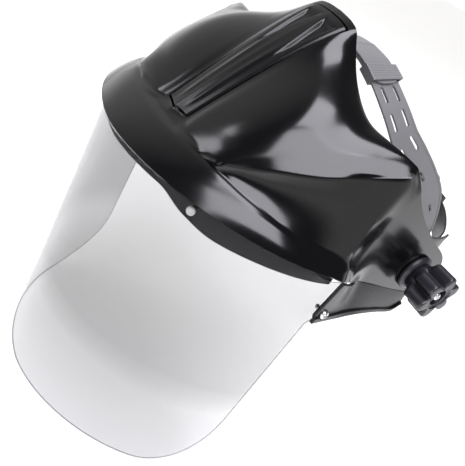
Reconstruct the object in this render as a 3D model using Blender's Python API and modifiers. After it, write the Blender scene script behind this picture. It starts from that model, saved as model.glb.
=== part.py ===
"""Face shield: a domed crown and a clear wrap-round visor that tilt on a ratchet headgear.

Frame: +X is the wearer's left, -Y is the front, +Z is up. The origin is the middle of the
tilt axis, which runs through both side pivots. Sizes are in metres.

The crown and visor are laid out from the visor's top rear corners (y = 0 there, z = 0 at
the visor's nominal top line, millimetres), and place() moves them to the pivot's origin.
"""
import math

import bmesh
import bpy
from mathutils import Matrix, Vector

# ---------------------------------------------------------------- driving dimensions (mm)
PIVOT_Y, PIVOT_Z = 82.0, -2.0      # tilt axis, in the layout frame
GAP = 0.35                          # clearance between touching pieces

VISOR_HALF_W = 112.0                # half width at the top edge
VISOR_DEPTH = 104.2                 # front to rear corners
VISOR_POWER = 1.77                  # fullness of the plan curve (2 is an ellipse)
VISOR_TOP = 5.6
VISOR_DROP = 192.0
VISOR_TAPER = 0.06                  # narrowing over the drop
VISOR_CORNER = 51.0                 # bottom corner radius on the flat sheet
VISOR_T = 1.0

BRIM_OUT = 4.6                     # brim edge stands this far outside the visor
CROWN_T = 2.2
EAR_X = 105.0                       # outer face of the ears

CARRIER_TOP, CARRIER_T = 5.8, 2.4
# lower edge of the carrier: it dips beside each stud (degrees round from the front, height)
CARRIER_LOW = [(0, (-1.5,)), (24, (-1.5,)), (34, (-7.5,)), (45, (-11.0,)), (60, (-10.0,)), (75, (-9.0,)),
               (86, (-8.5,))]

HEAD_R, HEAD_Y = 84.0, 115.0         # rear arc of the headband, and its centre
BAND_MID, BAND_FRONT = 84.0, 99.0   # centre of the front half of the headband, and its reach
BAND_T, BAND_H = 1.8, 28.0

BOLT_R = 3.0
KNOB_R, KNOB_L = 17.0, 21.0

STRAP_W, STRAP_T = 28.0, 1.6

PINION_PITCH_R = 5.0
PINION_TEETH = 8

# ---------------------------------------------------------------- scene
for ob in list(bpy.data.objects):
    bpy.data.objects.remove(ob, do_unlink=True)
for col in list(bpy.data.collections):
    bpy.data.collections.remove(col)

PARTS = bpy.data.collections.new("face_shield")
CUTTERS = bpy.data.collections.new("cutters")
bpy.context.scene.collection.children.link(PARTS)
bpy.context.scene.collection.children.link(CUTTERS)

MATS = {}


def material(name, rgb, rough, metal=0.0, alpha=1.0):
    if name not in MATS:
        m = bpy.data.materials.new(name)
        m.use_nodes = True
        b = m.node_tree.nodes["Principled BSDF"]
        b.inputs["Base Color"].default_value = (*rgb, 1.0)
        b.inputs["Roughness"].default_value = rough
        b.inputs["Metallic"].default_value = metal
        b.inputs["Alpha"].default_value = alpha
        m.diffuse_color = (*rgb, alpha)
        MATS[name] = m
    return MATS[name]


BLACK_GLOSS = ("crown_black", (0.012, 0.012, 0.014), 0.16)
BLACK_PANEL = ("panel_black", (0.015, 0.015, 0.017), 0.26)
BLACK_SATIN = ("satin_black", (0.020, 0.020, 0.022), 0.45)
BLACK_KNOB = ("knob_black", (0.017, 0.017, 0.021), 0.55)
CLEAR = ("clear_sheet", (0.86, 0.87, 0.89), 0.06, 0.0, 0.3)
CLEAR_STUD = ("clear_stud", (0.80, 0.80, 0.80), 0.25)
GREY = ("strap_grey", (0.22, 0.22, 0.23), 0.50)
STEEL = ("steel", (0.56, 0.56, 0.57), 0.28, 1.0)
FIBRE = ("washer_fibre", (0.05, 0.05, 0.05), 0.80)
FOAM = ("foam", (0.035, 0.035, 0.038), 0.92)
GEAR = ("gear_white", (0.62, 0.62, 0.60), 0.45)


def place(x, y, z):
    return Vector((x / 1000.0, (y - PIVOT_Y) / 1000.0, (z - PIVOT_Z) / 1000.0))


def link(ob, spec=None, cutter=False):
    (CUTTERS if cutter else PARTS).objects.link(ob)
    if cutter:
        ob.hide_render = True
        ob.display_type = "WIRE"
    elif spec:
        ob.data.materials.append(material(*spec))
    return ob


def from_bmesh(name, bm, spec=None, cutter=False, smooth=40.0):
    bm.normal_update()
    bmesh.ops.recalc_face_normals(bm, faces=bm.faces)
    me = bpy.data.meshes.new(name)
    bm.to_mesh(me)
    bm.free()
    me.shade_smooth()
    me.set_sharp_from_angle(angle=math.radians(smooth))
    return link(bpy.data.objects.new(name, me), spec, cutter)


def boolean(ob, cutter, op="DIFFERENCE"):
    m = ob.modifiers.new("cut", "BOOLEAN")
    m.operation = op
    m.solver = "EXACT"
    m.object = cutter
    return m


def mirror_x(ob):
    m = ob.modifiers.new("mirror", "MIRROR")
    m.use_axis = (True, False, False)
    m.merge_threshold = 0.00005
    m.use_clip = True
    return m


def cyl(name, r, x0, x1, y=0.0, z=0.0, axis="X", seg=32, spec=None, cutter=False, r2=None):
    """Cylinder between x0 and x1 (mm, object frame) along axis, centred on the other two."""
    bm = bmesh.new()
    bmesh.ops.create_cone(bm, cap_ends=True, segments=seg, radius1=r / 1000,
                          radius2=(r if r2 is None else r2) / 1000, depth=(x1 - x0) / 1000)
    mid = (x0 + x1) / 2000
    if axis == "X":
        rot = Matrix.Rotation(math.pi / 2, 4, "Y")
        loc = Vector((mid, y / 1000, z / 1000))
    elif axis == "Y":
        rot = Matrix.Rotation(-math.pi / 2, 4, "X")
        loc = Vector((y / 1000, mid, z / 1000))
    else:
        rot = Matrix.Identity(4)
        loc = Vector((y / 1000, z / 1000, mid))
    bmesh.ops.transform(bm, matrix=Matrix.Translation(loc) @ rot, verts=bm.verts)
    return from_bmesh(name, bm, spec, cutter)


def turned(name, profile, x_sign, spec, seg=22, y=0.0, z=0.0):
    """Turned solid about the X axis: profile is (x, r) from the outer end to the inner end."""
    bm = bmesh.new()
    rings = []
    for x, r in profile:
        ring = [bm.verts.new((x_sign * x / 1000, (y + r * math.cos(a)) / 1000,
                              (z + r * math.sin(a)) / 1000))
                for a in [2 * math.pi * k / seg for k in range(seg)]]
        rings.append(ring)
    n = len(rings)
    for i in range(n):
        a, b = rings[i], rings[(i + 1) % n]
        for k in range(seg):
            bm.faces.new((a[k], a[(k + 1) % seg], b[(k + 1) % seg], b[k]))
    return from_bmesh(name, bm, spec)


def lerp(a, b, t):
    return a + (b - a) * t


def curve_at(knots, s):
    """Smooth interpolation of tuples given as (s, (values...)), monotone between knots."""
    if s <= knots[0][0]:
        return knots[0][1]
    if s >= knots[-1][0]:
        return knots[-1][1]
    i = max(k for k in range(len(knots)) if knots[k][0] <= s)
    i = min(i, len(knots) - 2)
    s0, s1 = knots[i][0], knots[i + 1][0]
    h = s1 - s0
    t = (s - s0) / h
    out = []
    for c in range(len(knots[0][1])):
        def slope(j):
            if j <= 0 or j >= len(knots) - 1:
                a = min(max(j, 0), len(knots) - 2)
                if j <= 0:
                    a = 0
                return (knots[a + 1][1][c] - knots[a][1][c]) / (knots[a + 1][0] - knots[a][0])
            d0 = (knots[j][1][c] - knots[j - 1][1][c]) / (knots[j][0] - knots[j - 1][0])
            d1 = (knots[j + 1][1][c] - knots[j][1][c]) / (knots[j + 1][0] - knots[j][0])
            if d0 * d1 <= 0:
                return 0.0
            return 2 * d0 * d1 / (d0 + d1)
        m0, m1 = slope(i), slope(i + 1)
        p0, p1 = knots[i][1][c], knots[i + 1][1][c]
        t2, t3 = t * t, t * t * t
        out.append((2 * t3 - 3 * t2 + 1) * p0 + (t3 - 2 * t2 + t) * h * m0
                   + (-2 * t3 + 3 * t2) * p1 + (t3 - t2) * h * m1)
    return tuple(out)


# ---------------------------------------------------------------- crown surface
def plan(a, b, power, ang):
    """Point on the super-ellipse plan curve; ang is 0 at the front, 90 degrees at the side."""
    sx, cy = math.sin(ang), math.cos(ang)
    return (a * abs(sx) ** (2 / power), -b * abs(cy) ** (2 / power))


S_PANEL = 0.10       # column that is the long edge of the panel recess
S_HUMP = 0.19        # foot of the centre hump
S_FOLD = 0.62        # fold between the scooped side and the flat ear


def sweep(s):
    """Plan angle of a column, in radians: columns are closer together over the centre hump."""
    return math.radians(curve_at([(0, (0.0,)), (S_PANEL, (7.5,)), (S_HUMP, (14.3,)), (0.27, (27.5,)),
                                  (0.34, (39.0,)), (0.42, (52.5,)), (0.50, (66.0,)), (0.56, (80.0,))],
                                 min(s, 0.56))[0])


def brim_edge(s):
    x, y = plan(VISOR_HALF_W + BRIM_OUT, VISOR_DEPTH + BRIM_OUT, VISOR_POWER, sweep(s))
    side = (x, y, 6.0 - 0.05 * (y + VISOR_DEPTH))
    if s <= 0.56:
        return side
    return curve_at([(0.56, side), (S_FOLD, (117.0, -5.5, 0.0)), (0.70, (113.0, 17.0, -7.5)),
                     (0.82, (105.0, 52.0, -14.5)), (0.94, (105.0, 86.0, -20.5)),
                     (1.0, (105.0, 100.0, -22.0))], s)


def junction(s):
    """Top edge of the brim, where the dome starts."""
    x, y = plan(109.0, 88.0, 1.95, sweep(s))
    z = curve_at([(0, (20.0,)), (0.28, (20.0,)), (0.36, (17.5,)), (0.46, (13.5,)), (0.56, (8.5,))], s)[0]
    return (x, y, z)


def ledge(s):
    x, y, z = junction(s)
    inset = curve_at([(0, (7.0,)), (0.10, (6.5,)), (0.20, (3.0,)), (0.30, (2.6,)), (0.56, (2.2,))], s)[0]
    n = math.hypot(x / 109.0, y / 88.0)
    return (x * (1 - inset / 109.0 / n), y * (1 - inset / 88.0 / n), z + 1.3)


def crease(s):
    return curve_at([(0.0, (0.0, -78.5, 23.5)), (S_PANEL, (12.0, -76.0, 24.0)),
                     (S_HUMP, (23.0, -79.0, 22.5)), (0.27, (50.0, -75.5, 23.5)),
                     (0.34, (61.8, -64.1, 29.0)), (0.42, (73.5, -50.7, 37.3)),
                     (0.50, (85.0, -33.3, 45.6)), (0.57, (93.5, -13.0, 54.8)),
                     (S_FOLD, (103.5, 7.0, 65.5))], s)


def rear_edge(s):
    return curve_at([(0.0, (0.0, 1.0, 112.0)), (0.05, (9.0, 1.0, 111.5)),
                     (S_PANEL, (18.0, 1.0, 109.5)), (S_HUMP, (30.0, 1.0, 96.5)),
                     (0.27, (42.0, 1.2, 85.0)), (0.35, (57.0, 1.0, 76.5)),
                     (0.43, (67.8, 2.7, 72.6)), (0.52, (81.8, 3.9, 73.6)),
                     (S_FOLD, (99.5, 12.0, 71.2)), (0.68, (104.0, 24.7, 57.5)),
                     (0.76, (103.0, 50.0, 39.0)), (0.85, (105.0, 76.0, 25.0)),
                     (0.94, (105.0, 106.0, 9.5)), (0.975, (105.0, 112.0, -1.5)),
                     (1.0, (105.0, 107.0, -14.0))], s)


def ear_x(y, z):
    """Outer face of the ear: flat, except that its foot flares out to meet the brim's end."""
    w = min(1.0, max(0.0, (34.0 - y) / 42.0))
    w = w * w * (3 - 2 * w)
    h = curve_at([(-16, (14.0,)), (-8, (13.0,)), (-2, (9.5,)), (6, (3.5,)), (14, (0.8,)), (22, (0.0,)),
                  (72, (0.0,))], z)[0]
    return EAR_X + w * h


def crown_point(s, row):
    """row runs 0..1 from the brim's lower edge, 0.14 brim top, 0.18 ledge, 0.40 crease, 1 rear edge."""
    if s <= S_FOLD:
        b, e, k = brim_edge(s), rear_edge(s), crease(s)
        if s > 0.56:
            f = (s - 0.56) / (S_FOLD - 0.56)
            j0, l0 = junction(0.56), ledge(0.56)
            j1, l1 = (114.0, -6.5, 4.5), (109.6, -5.6, 9.0)
            j = tuple(lerp(j0[c], j1[c], f) for c in range(3))
            l = tuple(lerp(l0[c], l1[c], f) for c in range(3))
        else:
            j, l = junction(s), ledge(s)
        if row <= 0.14:
            f = row / 0.14
            p = [lerp(b[c], j[c], f) for c in range(3)]
            bulge = 0.6 * math.sin(math.pi * f) * (1 - max(0.0, s - 0.5) / 0.12)
            n = math.hypot(p[0], p[1])
            p[0] += bulge * p[0] / n
            p[1] += bulge * p[1] / n
            p[2] += bulge * 0.6
            return tuple(p)
        if row <= 0.18:
            f = (row - 0.14) / 0.04
            return tuple(lerp(j[c], l[c], f) for c in range(3))
        if row <= 0.40:
            f = (row - 0.18) / 0.22
            p = [lerp(l[c], k[c], f) for c in range(3)]
            scoop = 2.5 * math.sin(math.pi * f) * min(1.0, max(0.0, (s - 0.28) / 0.12)) \
                * min(1.0, max(0.0, (S_FOLD - s) / 0.10))
            n = math.hypot(p[0], p[1])
            p[0] -= scoop * p[0] / n
            p[1] -= scoop * p[1] / n
            return tuple(p)
        f = (row - 0.40) / 0.60
        t0 = curve_at([(0, (0.0, 19.0, 24.0)), (S_PANEL, (0.3, 19.0, 23.5)),
                       (S_HUMP, (1.0, 19.0, 27.0)), (0.30, (1.5, 17.0, 33.0)),
                       (0.45, (-2.0, 13.0, 19.0)), (S_FOLD, (0.3, 2.2, 1.4))], s)
        t1 = curve_at([(0, (0.0, 26.0, 15.0)), (S_PANEL, (0.5, 26.0, 15.0)),
                       (S_HUMP, (0.0, 25.0, 3.0)), (0.30, (-1.5, 24.0, -8.0)),
                       (0.45, (0.0, 16.0, -3.0)), (S_FOLD, (0.1, 2.4, 1.4))], s)
        a = [(1 - f) ** 3, 3 * f * (1 - f) ** 2, 3 * f * f * (1 - f), f ** 3]
        return tuple(a[0] * k[c] + a[1] * (k[c] + t0[c]) + a[2] * (e[c] - t1[c]) + a[3] * e[c]
                     for c in range(3))
    b, e = brim_edge(s), rear_edge(s)
    # share of each row along the fold column
    f = curve_at([(0, (0.0,)), (0.14, (0.09,)), (0.18, (0.14,)), (0.40, (0.88,)), (1, (1.0,))], row)[0]
    y, z = lerp(b[1], e[1], f), lerp(b[2], e[2], f)
    x = ear_x(y, z)
    g = min(1.0, (s - S_FOLD) / 0.05)
    return (lerp(crown_point(S_FOLD, row)[0], x, g) if g < 1 else x, y, z)


def crown_normal(s, row):
    d = 0.004
    s0, s1 = max(0.0, s - d), min(1.0, s + d)
    r0, r1 = max(0.0, row - d), min(1.0, row + d)
    a = Vector(crown_point(s1, row)) - Vector(crown_point(s0, row))
    b = Vector(crown_point(s, r1)) - Vector(crown_point(s, r0))
    n = a.cross(b)
    if s < 1e-6:
        n.x = 0.0
    n.normalize()
    return n if n.z > -0.2 else -n


PANEL_ROWS = (0.418, 0.965)      # front and rear end of the panel recess
PANEL_DEPTH = 2.6


def spaced(lo, hi, n):
    return [lo + (hi - lo) * k / n for k in range(n + 1)]


def grid_mesh(bm, fn, us, vs):
    g = [[bm.verts.new(place(*fn(u, v))) for v in vs] for u in us]
    for i in range(len(us) - 1):
        for j in range(len(vs) - 1):
            bm.faces.new((g[i][j], g[i + 1][j], g[i + 1][j + 1], g[i][j + 1]))
    return g


def build_crown():
    e = 0.0022
    cols = spaced(0, S_PANEL - e, 3) + spaced(S_PANEL + e, S_HUMP, 2) + spaced(S_HUMP, 0.56, 10)[1:] \
        + [0.59, S_FOLD] + [0.65, 0.70, 0.76, 0.82, 0.88, 0.94, 0.975, 1.0]
    ra, rb = PANEL_ROWS
    rows = [0, 0.07, 0.14, 0.18, 0.25, 0.33, 0.40, ra - 0.003, ra + 0.003] \
        + spaced(ra + 0.003, rb - 0.003, 6)[1:] + [rb + 0.003, 1.0]

    def fn(s, row):
        p = Vector(crown_point(s, row))
        if s < S_PANEL and ra < row < rb:
            p -= crown_normal(s, row) * PANEL_DEPTH
        if s == 0:
            p.x = 0.0
        return p
    bm = bmesh.new()
    grid_mesh(bm, fn, cols, rows)
    me = bpy.data.meshes.new("crown_shell")
    bmesh.ops.recalc_face_normals(bm, faces=bm.faces)
    bm.normal_update()
    f = max(bm.faces, key=lambda q: q.calc_center_median().z)
    if f.normal.z < 0:
        bmesh.ops.reverse_faces(bm, faces=bm.faces)
    bm.to_mesh(me)
    bm.free()
    me.shade_smooth()
    me.set_sharp_from_angle(angle=math.radians(32))
    ob = link(bpy.data.objects.new("crown_shell", me), BLACK_GLOSS)
    mirror_x(ob)
    so = ob.modifiers.new("wall", "SOLIDIFY")
    so.thickness = CROWN_T / 1000
    so.offset = -1.0
    for sx, side in ((1, "left"), (-1, "right")):
        c = cyl("ear_hole_" + side, BOLT_R + 0.6, 95 if sx > 0 else -110, 110 if sx > 0 else -95,
                seg=24, cutter=True)
        boolean(ob, c)
    return ob


def build_panel():
    e = 0.0042
    ra, rb = PANEL_ROWS
    cols = spaced(0, S_PANEL - e - 0.0022, 4)
    rows = spaced(ra + 0.0075, rb - 0.0075, 12)

    def fn(s, row):
        p = Vector(crown_point(s, row))
        p += crown_normal(s, row) * 0.5
        if s == 0:
            p.x = 0.0
        return p
    bm = bmesh.new()
    grid_mesh(bm, fn, cols, rows)
    bmesh.ops.recalc_face_normals(bm, faces=bm.faces)
    if sum(f.normal.z for f in bm.faces) < 0:
        bmesh.ops.reverse_faces(bm, faces=bm.faces)
    me = bpy.data.meshes.new("top_panel")
    bm.to_mesh(me)
    bm.free()
    me.shade_smooth()
    ob = link(bpy.data.objects.new("top_panel", me), BLACK_PANEL)
    mirror_x(ob)
    so = ob.modifiers.new("wall", "SOLIDIFY")
    so.thickness = (PANEL_DEPTH + 0.5 - GAP) / 1000
    so.offset = -1.0
    return ob


# ---------------------------------------------------------------- visor and carrier
def visor_section(off=0.0, n=44):
    """Plan curve of the visor, from the right rear corner round the front to the left one."""
    pts = []
    for k in range(n + 1):
        ang = -math.pi / 2 + math.pi * k / n
        x, y = plan(VISOR_HALF_W + off, VISOR_DEPTH + off, VISOR_POWER, abs(ang))
        pts.append((math.copysign(x, ang) if abs(ang) > 1e-9 else 0.0, y))
    return pts


def arc_lengths(pts):
    s = [0.0]
    for a, b in zip(pts, pts[1:]):
        s.append(s[-1] + math.hypot(b[0] - a[0], b[1] - a[1]))
    return s


def taper(z):
    return 1.0 - VISOR_TAPER * (-z) / VISOR_DROP


def side_top(deg, top, end):
    """The sheet and its carrier drop away under the ears at their rear corners."""
    return curve_at([(40, (top,)), (58, (lerp(top, end, 0.17),)), (70, (lerp(top, end, 0.36),)),
                     (79, (lerp(top, end, 0.84),)), (84, (end,)), (90, (end,))], deg)[0]


TAB = 8.0


def build_visor():
    pts = visor_section()
    s = arc_lengths(pts)
    half = s[-1] / 2
    rows = 10
    bm = bmesh.new()
    g = []
    for i, ((x, y), si) in enumerate(zip(pts, s)):
        top = side_top(abs(-90.0 + 180.0 * i / (len(pts) - 1)), VISOR_TOP, -5.6)
        q = min(1.0, max(0.0, (abs(si - half) - (half - VISOR_CORNER)) / VISOR_CORNER))
        q = min(q, 0.9995)
        low = -VISOR_DROP + VISOR_CORNER * (1 - math.sqrt(max(0.0, 1 - q * q)))
        col = []
        for j in range(rows + 1):
            z = lerp(top, low, j / rows)
            k = taper(z)
            col.append(bm.verts.new(place(x * k, y * k, z)))
        g.append(col)
    # a short tab behind each rear edge, where the bracket's screw holds the sheet
    for end in (0, -1):
        src = g[end]
        tab = []
        for v in src:
            z = v.co.z * 1000 + PIVOT_Z
            f = min(1.0, max(0.0, (z + 42.0) / 7.0))
            w = v.co.copy()
            w.y += TAB * max(0.02, f * f * (3 - 2 * f)) / 1000
            tab.append(bm.verts.new(w))
        if end == 0:
            g.insert(0, tab)
        else:
            g.append(tab)
    for i in range(len(g) - 1):
        for j in range(rows):
            bm.faces.new((g[i][j], g[i][j + 1], g[i + 1][j + 1], g[i + 1][j]))
    bmesh.ops.recalc_face_normals(bm, faces=bm.faces)
    f = min(bm.faces, key=lambda q: q.calc_center_median().y)
    if f.normal.y > 0:
        bmesh.ops.reverse_faces(bm, faces=bm.faces)
    me = bpy.data.meshes.new("visor")
    bm.to_mesh(me)
    bm.free()
    me.shade_smooth()
    ob = link(bpy.data.objects.new("visor", me), CLEAR)
    so = ob.modifiers.new("sheet", "SOLIDIFY")
    so.thickness = VISOR_T / 1000
    so.offset = -1.0
    return ob


def build_carrier():
    n = 36
    pts = []
    for k in range(n + 1):
        ang = math.radians(-86 + 172 * k / n)
        x, y = plan(VISOR_HALF_W - VISOR_T - GAP, VISOR_DEPTH - VISOR_T - GAP, VISOR_POWER, abs(ang))
        pts.append((math.copysign(x, ang) if abs(ang) > 1e-9 else 0.0, y))
    bm = bmesh.new()
    g = []
    for i, (x, y) in enumerate(pts):
        deg = abs(-86 + 172 * i / n)
        top = side_top(deg, CARRIER_TOP, -4.0)
        low = curve_at(CARRIER_LOW, deg)[0]
        col = []
        for f in (0.0, 0.3, 0.65, 1.0):
            z = lerp(top, low, f)
            k = taper(z)
            col.append(bm.verts.new(place(x * k, y * k, z)))
        g.append(col)
    for i in range(len(g) - 1):
        for j in range(3):
            bm.faces.new((g[i][j], g[i][j + 1], g[i + 1][j + 1], g[i + 1][j]))
    bmesh.ops.recalc_face_normals(bm, faces=bm.faces)
    f = min(bm.faces, key=lambda q: q.calc_center_median().y)
    if f.normal.y > 0:
        bmesh.ops.reverse_faces(bm, faces=bm.faces)
    me = bpy.data.meshes.new("visor_carrier")
    bm.to_mesh(me)
    bm.free()
    me.shade_smooth()
    ob = link(bpy.data.objects.new("visor_carrier", me), BLACK_SATIN)
    so = ob.modifiers.new("wall", "SOLIDIFY")
    so.thickness = CARRIER_T / 1000
    so.offset = -1.0
    return ob


def stud_frame(ang_deg, z=-1.6):
    """Point on the visor's outer face and its outward direction, for a stud."""
    a = math.radians(ang_deg)

    def at(aa):
        x, y = plan(VISOR_HALF_W, VISOR_DEPTH, VISOR_POWER, abs(aa))
        return Vector((math.copysign(x, aa) * taper(z), y * taper(z), z))
    p = at(a)
    t = (at(a + 0.01) - at(a - 0.01)).normalized()
    n = t.cross(Vector((0, 0, 1)))
    n.normalize()
    if n.dot(Vector((p.x, p.y, 0))) < 0:
        n = -n
    return p, n


def along(name, p, n, stations, spec=None, cutter=False, seg=16):
    """Turned solid about the line through p along n; stations are (distance, radius)."""
    up = Vector((0, 0, 1))
    u = n.cross(up).normalized()
    v = n.cross(u).normalized()
    bm = bmesh.new()
    rings = []
    for d, r in stations:
        c = p + n * d
        rings.append([bm.verts.new(place(*(c + u * (r * math.cos(a)) + v * (r * math.sin(a)))))
                      for a in [2 * math.pi * k / seg for k in range(seg)]])
    for a, b in zip(rings, rings[1:]):
        for k in range(seg):
            bm.faces.new((a[k], a[(k + 1) % seg], b[(k + 1) % seg], b[k]))
    bm.faces.new(rings[0])
    bm.faces.new(list(reversed(rings[-1])))
    return from_bmesh(name, bm, spec, cutter)


STUD_ANGLES = (("left", 36.0), ("right", -36.0))


def build_studs(visor, carrier):
    for side, ang in STUD_ANGLES:
        p, n = stud_frame(ang)
        hole = along("stud_hole_" + side, p, n, [(-6.0, 2.3), (3.0, 2.3)], cutter=True)
        boolean(visor, hole)
        boolean(carrier, hole)
        along("visor_stud_" + side, p, n,
              [(-5.4, 1.5), (-4.6, 1.95), (0.3, 1.95), (0.31, 2.7), (1.5, 2.7), (2.2, 2.0)], CLEAR_STUD)


# ---------------------------------------------------------------- side brackets
def bracket_outer(u, v):
    """u 0..1 front to rear, v 0..1 from the seam under the ear down to the rim."""
    s = lerp(S_FOLD + 0.012, 0.985, u)
    top = brim_edge(s)
    under = crown_point(s, 0)[0]
    top = (lerp(top[0], under, min(1.0, max(0.0, (u - 0.08) / 0.18))), top[1],
           top[2] - lerp(1.7, 0.45, min(1.0, u / 0.2)))
    rim = curve_at([(0.0, (114.0, -3.0, -36.0)), (0.12, (113.6, 9.0, -34.5)), (0.38, (111.8, 35.0, -33.0)),
                    (0.70, (108.5, 66.0, -35.5)), (0.90, (106.5, 88.0, -38.0)), (1.0, (105.0, 99.0, -33.5))], u)
    p = [lerp(top[c], rim[c], v) for c in range(3)]
    return tuple(p)


def build_bracket(sx, side):
    bm = bmesh.new()
    us = [0, 0.05, 0.1, 0.16, 0.24, 0.34, 0.45, 0.56, 0.67, 0.78, 0.88, 0.95, 1.0]
    vs = [0.0, 0.3, 0.6, 0.80, 0.84, 0.88, 0.94, 1.0]

    def fn(u, v):
        p = list(bracket_outer(u, v))
        lip = 1.5 if v >= 0.88 else 0.0
        p[0] = (p[0] + lip) * sx
        return p
    grid_mesh(bm, fn, us, vs)
    bmesh.ops.recalc_face_normals(bm, faces=bm.faces)
    if sum(f.normal.x for f in bm.faces) * sx < 0:
        bmesh.ops.reverse_faces(bm, faces=bm.faces)
    me = bpy.data.meshes.new("side_bracket_" + side)
    bm.to_mesh(me)
    bm.free()
    me.shade_smooth()
    me.set_sharp_from_angle(angle=math.radians(30))
    ob = link(bpy.data.objects.new("side_bracket_" + side, me), BLACK_SATIN)
    so = ob.modifiers.new("wall", "SOLIDIFY")
    so.thickness = 2.2 / 1000
    so.offset = -1.0
    # screw through the bracket's tip into the visor's corner
    p = Vector((sx * 113.0, 3.5, -29.0))
    n = Vector((sx, 0.0, 0.0))
    hole = along("bracket_hole_" + side, p, n, [(-8.0, 1.9), (1.2, 1.9), (1.21, 3.5), (8.0, 3.5)], cutter=True, seg=20)
    boolean(ob, hole)
    return ob, hole


def build_bracket_screw(sx, side):
    p = Vector((sx * 113.0, 3.5, -29.0))
    n = Vector((sx, 0.0, 0.0))
    ob = along("bracket_screw_" + side, p, n,
               [(-6.0, 1.2), (-5.4, 1.5), (1.5, 1.5), (1.51, 3.1), (2.6, 3.0), (3.3, 2.2), (3.55, 1.2)],
               STEEL, seg=20)
    return ob


# ---------------------------------------------------------------- headgear
def strip_solid(name, path, half_w, thick, spec, cutter=False):
    """A flat band swept along path: each station is (centre, outward normal, width direction,
    and optionally its own half width)."""
    bm = bmesh.new()
    rings = []
    for st in path:
        c, n, w = Vector(st[0]), Vector(st[1]).normalized(), Vector(st[2]).normalized()
        hw = st[3] if len(st) > 3 else half_w
        rings.append([bm.verts.new(place(*(c + w * a + n * b)))
                      for a, b in ((-hw, 0), (hw, 0), (hw, thick), (-hw, thick))])
    for a, b in zip(rings, rings[1:]):
        for k in range(4):
            bm.faces.new((a[k], a[(k + 1) % 4], b[(k + 1) % 4], b[k]))
    bm.faces.new(rings[0])
    bm.faces.new(list(reversed(rings[-1])))
    return from_bmesh(name, bm, spec, cutter, smooth=30)


def loop_point(deg):
    """Headband loop in plan: 0 at the front, 180 at the rear. Returns point and outward normal."""
    a = math.radians(deg)
    if abs(deg) <= 90:
        x, y = HEAD_R * math.sin(a), BAND_MID - BAND_FRONT * math.cos(a)
        n = Vector((math.sin(a) / HEAD_R, -math.cos(a) / BAND_FRONT, 0)).normalized()
    else:
        x, y = HEAD_R * math.sin(a), HEAD_Y - HEAD_R * math.cos(a)
        n = Vector((math.sin(a), -math.cos(a), 0))
    return Vector((x, y, 0)), n


def band_z(deg):
    """Height of the band's middle: high on the forehead, low at the nape."""
    return curve_at([(0, (34.0,)), (45, (26.0,)), (90, (-2.0,)), (118, (-4.0,))], abs(deg))[0]


def build_headband():
    path = []
    up = Vector((0, 0, 1))
    stations = [-118, -112, -105, -98, -90] + list(range(-84, 85, 7)) + [90, 98, 105, 112, 118]
    for d in stations:
        p, n = loop_point(d)
        path.append((p + up * band_z(d) + n * 0.0, n, up))
    ob = strip_solid("headband", path, BAND_H / 2, BAND_T, BLACK_SATIN)
    for sx, side in ((1, "left"), (-1, "right")):
        bm = bmesh.new()
        bmesh.ops.create_cone(bm, cap_ends=True, segments=26, radius1=0.021, radius2=0.021, depth=0.0026)
        bmesh.ops.transform(bm, matrix=Matrix.Translation((sx * 0.0869, 0, 0)) @ Matrix.Rotation(math.pi / 2, 4, "Y"),
                            verts=bm.verts)
        disc = from_bmesh("pivot_plate_" + side, bm, None, True)
        boolean(ob, disc, "UNION")
        boolean(ob, cyl("plate_hole_" + side, BOLT_R + 0.4, 80 if sx > 0 else -92, 92 if sx > 0 else -80,
                        seg=24, cutter=True))
        # strap peg hole
        boolean(ob, cyl("peg_hole_" + side, 3.0, 76 if sx > 0 else -94, 94 if sx > 0 else -76,
                        y=PEG_Y, z=PEG_Z, seg=20, cutter=True))
    return ob


PEG_Y, PEG_Z = 31.0, 5.0       # strap peg, in the object frame


def build_sweatband():
    path = []
    up = Vector((0, 0, 1))
    for d in range(-63, 64, 7):
        p, n = loop_point(d)
        path.append((p - n * (GAP + 5.0) + up * band_z(d), n, up))
    return strip_solid("sweatband", path, BAND_H / 2 - 1.0, 5.0, FOAM)


STRAP_PATH = [(0.00, (0.0, 33.0, 96.0)), (0.14, (14.0, 33.5, 94.5)), (0.26, (27.0, 35.5, 90.0)),
              (0.38, (40.0, 39.0, 83.0)), (0.50, (51.0, 44.0, 75.0)), (0.60, (59.0, 51.0, 66.5)),
              (0.70, (66.0, 65.5, 56.5)), (0.80, (71.5, 81.5, 45.5)), (0.90, (76.5, 98.5, 31.0)),
              (0.96, (79.5, 109.0, 16.0)), (1.00, (80.8, 114.5, -2.0))]


def strap_frame(t):
    c = Vector(curve_at(STRAP_PATH, t))
    d = 0.01
    a, b = Vector(curve_at(STRAP_PATH, max(0, t - d))), Vector(curve_at(STRAP_PATH, min(1, t + d)))
    tan = (b - a).normalized()
    if t < 0.02:
        tan = Vector((1, 0.05, 0)).normalized()
    # outward direction from the head's centre, square to the strap's run
    out = (c - Vector((0, 60.0, 20.0)))
    out.y *= 0.35
    out -= tan * out.dot(tan)
    out.normalize()
    w = tan.cross(out).normalized()
    if w.y < 0:
        w = -w
    return c, out, w


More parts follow.
